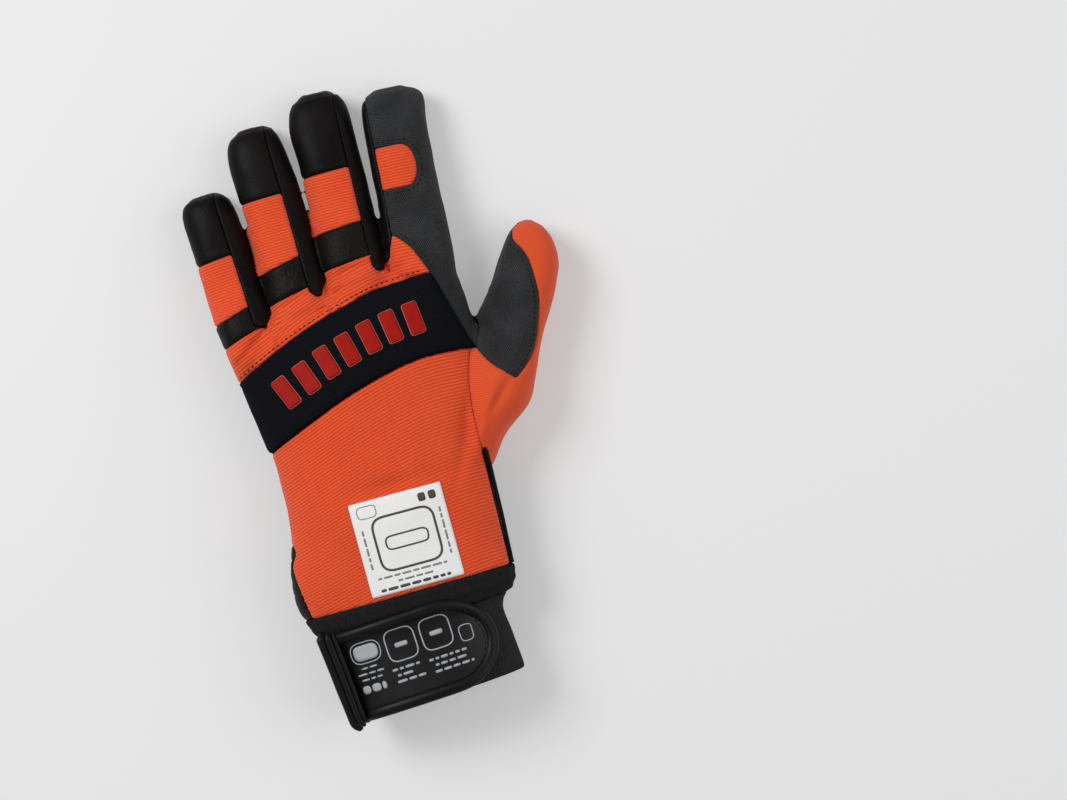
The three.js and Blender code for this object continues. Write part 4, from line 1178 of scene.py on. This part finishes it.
# Each ridge of the fold: its top, its foot, half its width, and how tall it is for its width.
FOLD_RIDGES = (((-52.3, -3.6, 26.8), (-49.6, -48.0, 25.6), 2.3, 1.45),
               ((-49.6, -4.6, 29.9), (-47.4, -46.6, 29.2), 1.5, 1.3),
               ((-47.2, -5.6, 31.2), (-45.8, -45.2, 30.6), 0.9, 1.1))
RIDGE_STEPS = 60


def tab_line(inset, start=STRAP_ROOT):
    """The tab's edge in the plan, moved inwards, from its foot round the tip to its top."""
    radius = (STRAP_TOP - STRAP_FOOT) / 2
    centre = Vector((STRAP_TIP - radius, (STRAP_TOP + STRAP_FOOT) / 2))
    line = [Vector((start, STRAP_FOOT + inset))]
    for degrees in range(-90, 91, 9):
        turn = math.radians(degrees)
        line.append(centre + Vector((math.cos(turn), math.sin(turn))) * (radius - inset))
    return line + [Vector((start, STRAP_TOP - inset))]


def sweep(mesh, points, normals, half_wide, half_high, sides, sizes=None):
    """A round or flattened cord along points, standing on the given normals."""
    rings = []
    for i, point in enumerate(points):
        ahead = (points[min(i + 1, len(points) - 1)] - points[max(i - 1, 0)]).normalized()
        side = ahead.cross(normals[i]).normalized()
        up = side.cross(ahead)
        size = sizes[i] if sizes else 1.0
        matrix = Matrix((side * half_wide * size, up * half_high * size, ahead)).transposed().to_4x4()
        matrix.translation = point
        rings.append(bmesh.ops.create_circle(mesh, segments=sides, radius=1, matrix=matrix)["verts"])
    loft(mesh, rings)


def eased(points, times):
    """The same line with its small kinks taken out; its ends stay."""
    for _ in range(times):
        inner = [(a + 2 * b + c) / 4 for a, b, c in zip(points, points[1:], points[2:])]
        points = [points[0]] + inner + [points[-1]]
    return points


def on_form(line):
    """Where plumb lines through a line in the plan meet the hand's form, and the normals there."""
    hits = [hand_tree.ray_cast(Vector((spot.x, spot.y, 90)), Vector((0, 0, -1))) for spot in line]
    return [(hit[0], hit[1]) for hit in hits if hit[0] is not None]


def cord_on(mesh, line, half_wide, half_high, sunk, sides):
    """A cord laid along a line in the plan on what is dressed so far."""
    points, normals = [], []
    for hit, normal in map(touch, line):
        if hit is not None:
            points.append(hit + normal * (half_high - sunk))
            normals.append(normal)
    sweep(mesh, eased(points, 3), normals, half_wide, half_high, sides)


def dress_cords(name, mesh, material, nodes):
    """Cords are solid already: their faces are turned outwards, and they get no wall."""
    bmesh.ops.recalc_face_normals(mesh, faces=mesh.faces)
    dress(name, mesh, material, nodes, 0)


patch = lay_panel("upper", tab_line(FACE_INSET), FACE_LIFT)
for vert in patch.verts:
    vert.co += vert.normal * FACE_WAVE * noise.noise(vert.co * 0.09)
turn_in(patch, 1.0, 1.2, 0.0)
dress("strap_face_tab", patch, face_skin_painted_sheen, ["strap_face"], 2.0)
rim = bmesh.new()
laid = on_form(spaced(tab_line(RIM_HALF_WIDE, STRAP_ROOT - 1.5), 120))
points = eased([hit + normal * (RIM_HALF_HIGH - 0.1) for hit, normal in laid], 12)
sweep(rim, points, [normal for _, normal in laid], RIM_HALF_WIDE, RIM_HALF_HIGH, 18)
dress_cords("strap_rolled_rim", rim, strap_skin, ["strap_rim"])
fold = [(FOLD_OUTER, FOLD_FOOT), (FOLD_INNER, FOLD_FOOT), (FOLD_INNER, FOLD_TOP),
        (FOLD_OUTER, FOLD_TOP)]
patch = lay_panel("upper", fold, FOLD_LIFT)
turn_in(patch, 1.6, 1.8, 0.1)
dress("strap_sewn_fold", patch, strap_skin, ["strap_fold"], 2.0)
ridges = bmesh.new()
for top, foot, half, tall in FOLD_RIDGES:
    points, sizes = [], []
    for step in range(RIDGE_STEPS + 1):
        share = step / RIDGE_STEPS
        tail = max(0.0, share - 0.9) / 0.1
        spot = Vector(top).lerp(Vector(foot), share)
        points.append(spot + Vector((0.15 * noise.noise(spot * 0.1) + 0.8 * tail * tail, 0, 0)))
        sizes.append(min(1.0, 0.2 + share * 14) * (1 - 0.7 * tail * tail))
    sweep(ridges, points, [Vector((-0.7, 0, 0.7))] * len(points), half, half * tall, 14, sizes)
dress_cords("strap_fold_ridges", ridges, strap_skin, [])

# Print on the strap
# Pale grey ink on the strap's face: plain outlined blocks and rows of plain bars.
pale_print = plain("pale_print", (0.4, 0.41, 0.43), 0.6)
draw = random.Random(11)
STRAP_INK = 0.06
BAR_SHORT, BAR_LONG, BAR_SPACE = 1.6, 4.4, 0.7


def bar_row(mesh, centre, length, tall, turn, lift):
    """A row of plain bars of uneven length with even gaps between them."""
    at, ahead = -length / 2, Matrix.Rotation(turn, 2) @ Vector((1, 0))
    while at < length / 2 - 1.2:
        wide = min(length / 2 - at, draw.uniform(BAR_SHORT, BAR_LONG))
        laid_plate(mesh, Vector(centre) + ahead * (at + wide / 2), (wide, tall), turn, tall / 3, lift)
        at += wide + BAR_SPACE


def block_frame(mesh, centre, size, turn, corner, half_wide):
    """The outline of a block with rounded corners, in one flat line."""
    line = []
    for quarter, (u, v) in enumerate(((1, 1), (-1, 1), (-1, -1), (1, -1))):
        middle = Vector((u * (size[0] / 2 - corner), v * (size[1] / 2 - corner)))
        for degrees in range(0, 91, 30):
            arc = math.radians(quarter * 90 + degrees)
            line.append(middle + Vector((math.cos(arc), math.sin(arc))) * corner)
    line = [Vector(centre) + Matrix.Rotation(turn, 2) @ point for point in line + line[:1]]
    cord_on(mesh, spaced(line, round(2.2 * sum(size))), half_wide, 0.08, 0.02, 6)


strap_print = bmesh.new()
laid_plate(strap_print, (-36.7, -17.3), (10.5, 6.4), 0.0, 2.4, STRAP_INK)
block_frame(strap_print, (-36.7, -17.3), (12.8, 8.8), 0.0, 3.2, 0.25)
for x in (-21.4, -6.1):
    block_frame(strap_print, (x, -18.5), (12.6, 13.4), 0.0, 2.8, 0.32)
    laid_plate(strap_print, (x, -18.5), (5.6, 2.0), 0.0, 0.6, STRAP_INK)
block_frame(strap_print, (5.8, -22.6), (5.4, 6.8), 0.0, 0.8, 0.25)
for x, y, length, tall in ((-37.0, -23.7, 7, 0.8), (-36.9, -26.1, 12, 0.8), (-37.3, -28.5, 9, 0.8),
                           (-37.0, -32.6, 11.5, 3.4), (-22.3, -28.2, 12, 1.1), (-22.8, -30.8, 8, 1.1),
                           (-21.4, -33.4, 12.5, 1.1), (-3.4, -28.9, 18, 1.1), (-3.4, -31.5, 14, 1.1),
                           (-2.8, -34.2, 17, 1.1)):
    bar_row(strap_print, (x, y), length, tall, 0.0, STRAP_INK)
dress("strap_print_bars", strap_print, pale_print, [], 0.1)

# Label
# A crisp white woven label, sewn flat on the back above the wrist. Plain outlined blocks and
# rows of plain bars are printed on it in dark and mid grey.
label_cloth = matt_cloth("label_satin", (0.76, 0.76, 0.755), (0.84, 0.84, 0.835), 2200.0, (1, 1, 1),
                         0.12)
dark_print = plain("dark_print", (0.085, 0.075, 0.068), 0.7)
grey_print = plain("grey_print", (0.26, 0.25, 0.24), 0.7)
LABEL_CENTRE, LABEL_SIZE, LABEL_TURN = (-5.5, 21.8), (39.5, 39.9), math.radians(-3.5)
LABEL_INK = 0.05


def on_label(x, y):
    return Vector(LABEL_CENTRE) + Matrix.Rotation(LABEL_TURN, 2) @ Vector((x, y))


label = bmesh.new()
laid_plate(label, LABEL_CENTRE, LABEL_SIZE, LABEL_TURN, 0.6, 0.5, 1.0, 0.3)
for _ in range(3):
    bmesh.ops.smooth_vert(label, verts=label.verts, factor=0.5, use_axis_z=True)
dress("label_patch", label, label_cloth, ["label"], 0.6)
dark_ink, grey_ink = bmesh.new(), bmesh.new()
block_frame(dark_ink, on_label(0.6, 0.6), (26.0, 22.6), LABEL_TURN, 4.0, 0.55)
block_frame(dark_ink, on_label(0.6, 0.6), (18.0, 5.6), LABEL_TURN, 1.4, 0.4)
for x in (10.8, 15.2):
    laid_plate(dark_ink, on_label(x, 15.8), (3.2, 3.6), LABEL_TURN, 0.8, LABEL_INK)
block_frame(grey_ink, on_label(-13.0, 15.4), (8.0, 5.0), LABEL_TURN, 0.7, 0.2)
for ink, x, y, length, tall, turn in (
    (dark_ink, -0.5, -18.0, 30, 1.3, 0), (grey_ink, 0.0, -12.9, 31, 0.9, 0),
    (grey_ink, 0.0, -15.4, 15, 0.9, 0), (grey_ink, -16.6, 0.0, 17, 0.9, math.pi / 2),
    (grey_ink, 16.8, 0.0, 20, 0.9, math.pi / 2),
):
    bar_row(ink, on_label(x, y), length, tall, LABEL_TURN + turn, LABEL_INK)
dress("label_dark_bars", dark_ink, dark_print, [], 0.1)
dress("label_grey_bars", grey_ink, grey_print, [], 0.1)

# Piping and welts
# A black piped cord closes the thumb-side seam of the back down to the wrist, and a thin welt
# runs along the bar's lower edge.
PIPING = [(36.9, 47.8), (36.4, 40), (35.5, 30), (34.7, 20), (33.6, 10), (32.5, -1.5)]
PIPING_HALF_WIDE, PIPING_HALF_HIGH = 1.5, 1.3
PIPING_SINK, PIPING_SINK_STEPS = 1.3, 25
WELT_INSET = 1.6
trim = bmesh.new()
welt = [point + Vector((0, WELT_INSET)) for point in bar_bottom[6:-2]]
cord_on(trim, spaced(welt, 90), 0.6, 0.5, 0.25, 8)
dress_cords("bar_welt", trim, bar_face, [])
points = eased([hit for hit, _ in on_form(curve_through(PIPING, 60))], 20)
points = [point + Vector((0.35, 0, -PIPING_SINK * min(1.0, i / PIPING_SINK_STEPS)))
          for i, point in enumerate(points)]
sizes = [min(1.0, 0.5 + step * 0.25) - 0.2 * step / len(points) for step in range(len(points))]
piping = bmesh.new()
sweep(piping, points, [Vector((0.75, 0, 0.66))] * len(points), PIPING_HALF_WIDE, PIPING_HALF_HIGH, 12,
      sizes)
dress_cords("side_piping", piping, smooth_leather, [])

# Stitching
# Black thread, sewn in single and double rows beside the seams, round the pads and patches,
# and along the strap's groove.
thread = matt_cloth("black_thread", (0.006, 0.006, 0.006), (0.02, 0.02, 0.02), 3000.0, (1, 1, 1), 0.4)
THREAD_WIDE, THREAD_HIGH = 0.26, 0.17
STEEPEST = 0.4  # no stitch where the skin's normal rises less than this
BAR_GAP, SEAM_GAP, SLOT_GAPS, GROOVE_INSET = 1.7, 2.0, (1.8, 3.6), 5.4


def inset_line(line, distance, closed=False):
    """A line in the plan moved to its left by a distance."""
    moved = []
    last = len(line) - 1
    for i, point in enumerate(line):
        before = line[i - 1] if closed or i else line[0]
        after = line[(i + 1) % len(line)] if closed or i < last else line[last]
        ahead = (Vector(after) - Vector(before)).normalized()
        moved.append(Vector(point) + Vector((-ahead.y, ahead.x)) * distance)
    return moved


def stitch_row(rows, line, side="upper", pitch=2.3, length=1.6):
    """Short threads end to end along a line in the plan."""
    mesh = bmesh.new()
    line = [Vector(point) for point in line]
    total = sum((b - a).length for a, b in zip(line, line[1:]))
    spots = spaced(line, max(1, round(total / pitch)) * 2)
    for i in range(1, len(spots), 2):
        a, _ = touch(spots[i - 1], side)
        hit, normal = touch(spots[i], side)
        b, _ = touch(spots[min(i + 1, len(spots) - 1)], side)
        missed = a is None or hit is None or b is None
        if missed or abs(normal.z) < STEEPEST or (b - a).length > 2 * pitch:
            continue
        ahead = (b - a).normalized()
        beside = ahead.cross(normal).normalized()
        up = beside.cross(ahead)
        axes = (beside * THREAD_WIDE, up * THREAD_HIGH, ahead * length / 2)
        matrix = Matrix(axes).transposed().to_4x4()
        matrix.translation = hit + normal * THREAD_HIGH * 0.35
        matrix.translation.z = max(THREAD_HIGH, matrix.translation.z)
        bmesh.ops.create_uvsphere(mesh, u_segments=6, v_segments=4, radius=1, matrix=matrix)
    row = bpy.data.meshes.new("row")
    mesh.to_mesh(row)
    mesh.free()
    rows.from_mesh(row)
    bpy.data.meshes.remove(row)


def border_stitches(rows, outline, line, closed):
    """Two rows of stitches inside the border of a pad or patch."""
    turn = sum(a.cross(b) for a, b in zip(outline, outline[1:] + outline[:1]))
    for distance in PAD_ROWS:
        stitch_row(rows, inset_line(line, math.copysign(distance, turn), closed), "lower")


rows = bmesh.new()
for name, seams in FINGER_SEAMS.items():
    finger = FINGERS[name]
    for key, shift in (("cap", 2.2), ("band_top", -1.8), ("band", 1.8)):
        start, end = [place + shift / finger["length"] for place in seams[key]]
        ends = [finger_spot(finger, start, -0.78), finger_spot(finger, end, finger["seam"] - 0.12)]
        stitch_row(rows, ends)
stitch_row(rows, inset_line(bar_top, BAR_GAP)[6:-2])
stitch_row(rows, inset_line(leaf_seam, -SEAM_GAP)[2:])
stitch_row(rows, inset_line(index_seam, -SEAM_GAP)[1:-3])
window_edge = index_spots([(0.495, -0.7)] + window[1:-1] + [(0.725, -0.7)])
stitch_row(rows, inset_line(window_edge, -SEAM_GAP))
dress("stitches_back", rows, thread, [], 0)
rows = bmesh.new()
for outline in PADS.values():
    border_stitches(rows, outline, outline, True)
for along in SLOTS.values():
    for grow in SLOT_GAPS:
        stitch_row(rows, slot_outline(along, grow)[1:-1], "lower")
for outline in PATCHES.values():
    border_stitches(rows, outline, outline + outline[:1], False)
dress("stitches_palm", rows, thread, [], 0)
rows = bmesh.new()
stitch_row(rows, tab_line(GROOVE_INSET, STRAP_ROOT + 2), pitch=2.6, length=2.0)
dress("stitches_strap", rows, thread, [], 0)

# The hidden form is taken away.
for form in whole_of.values():
    bpy.data.meshes.remove(form.data)
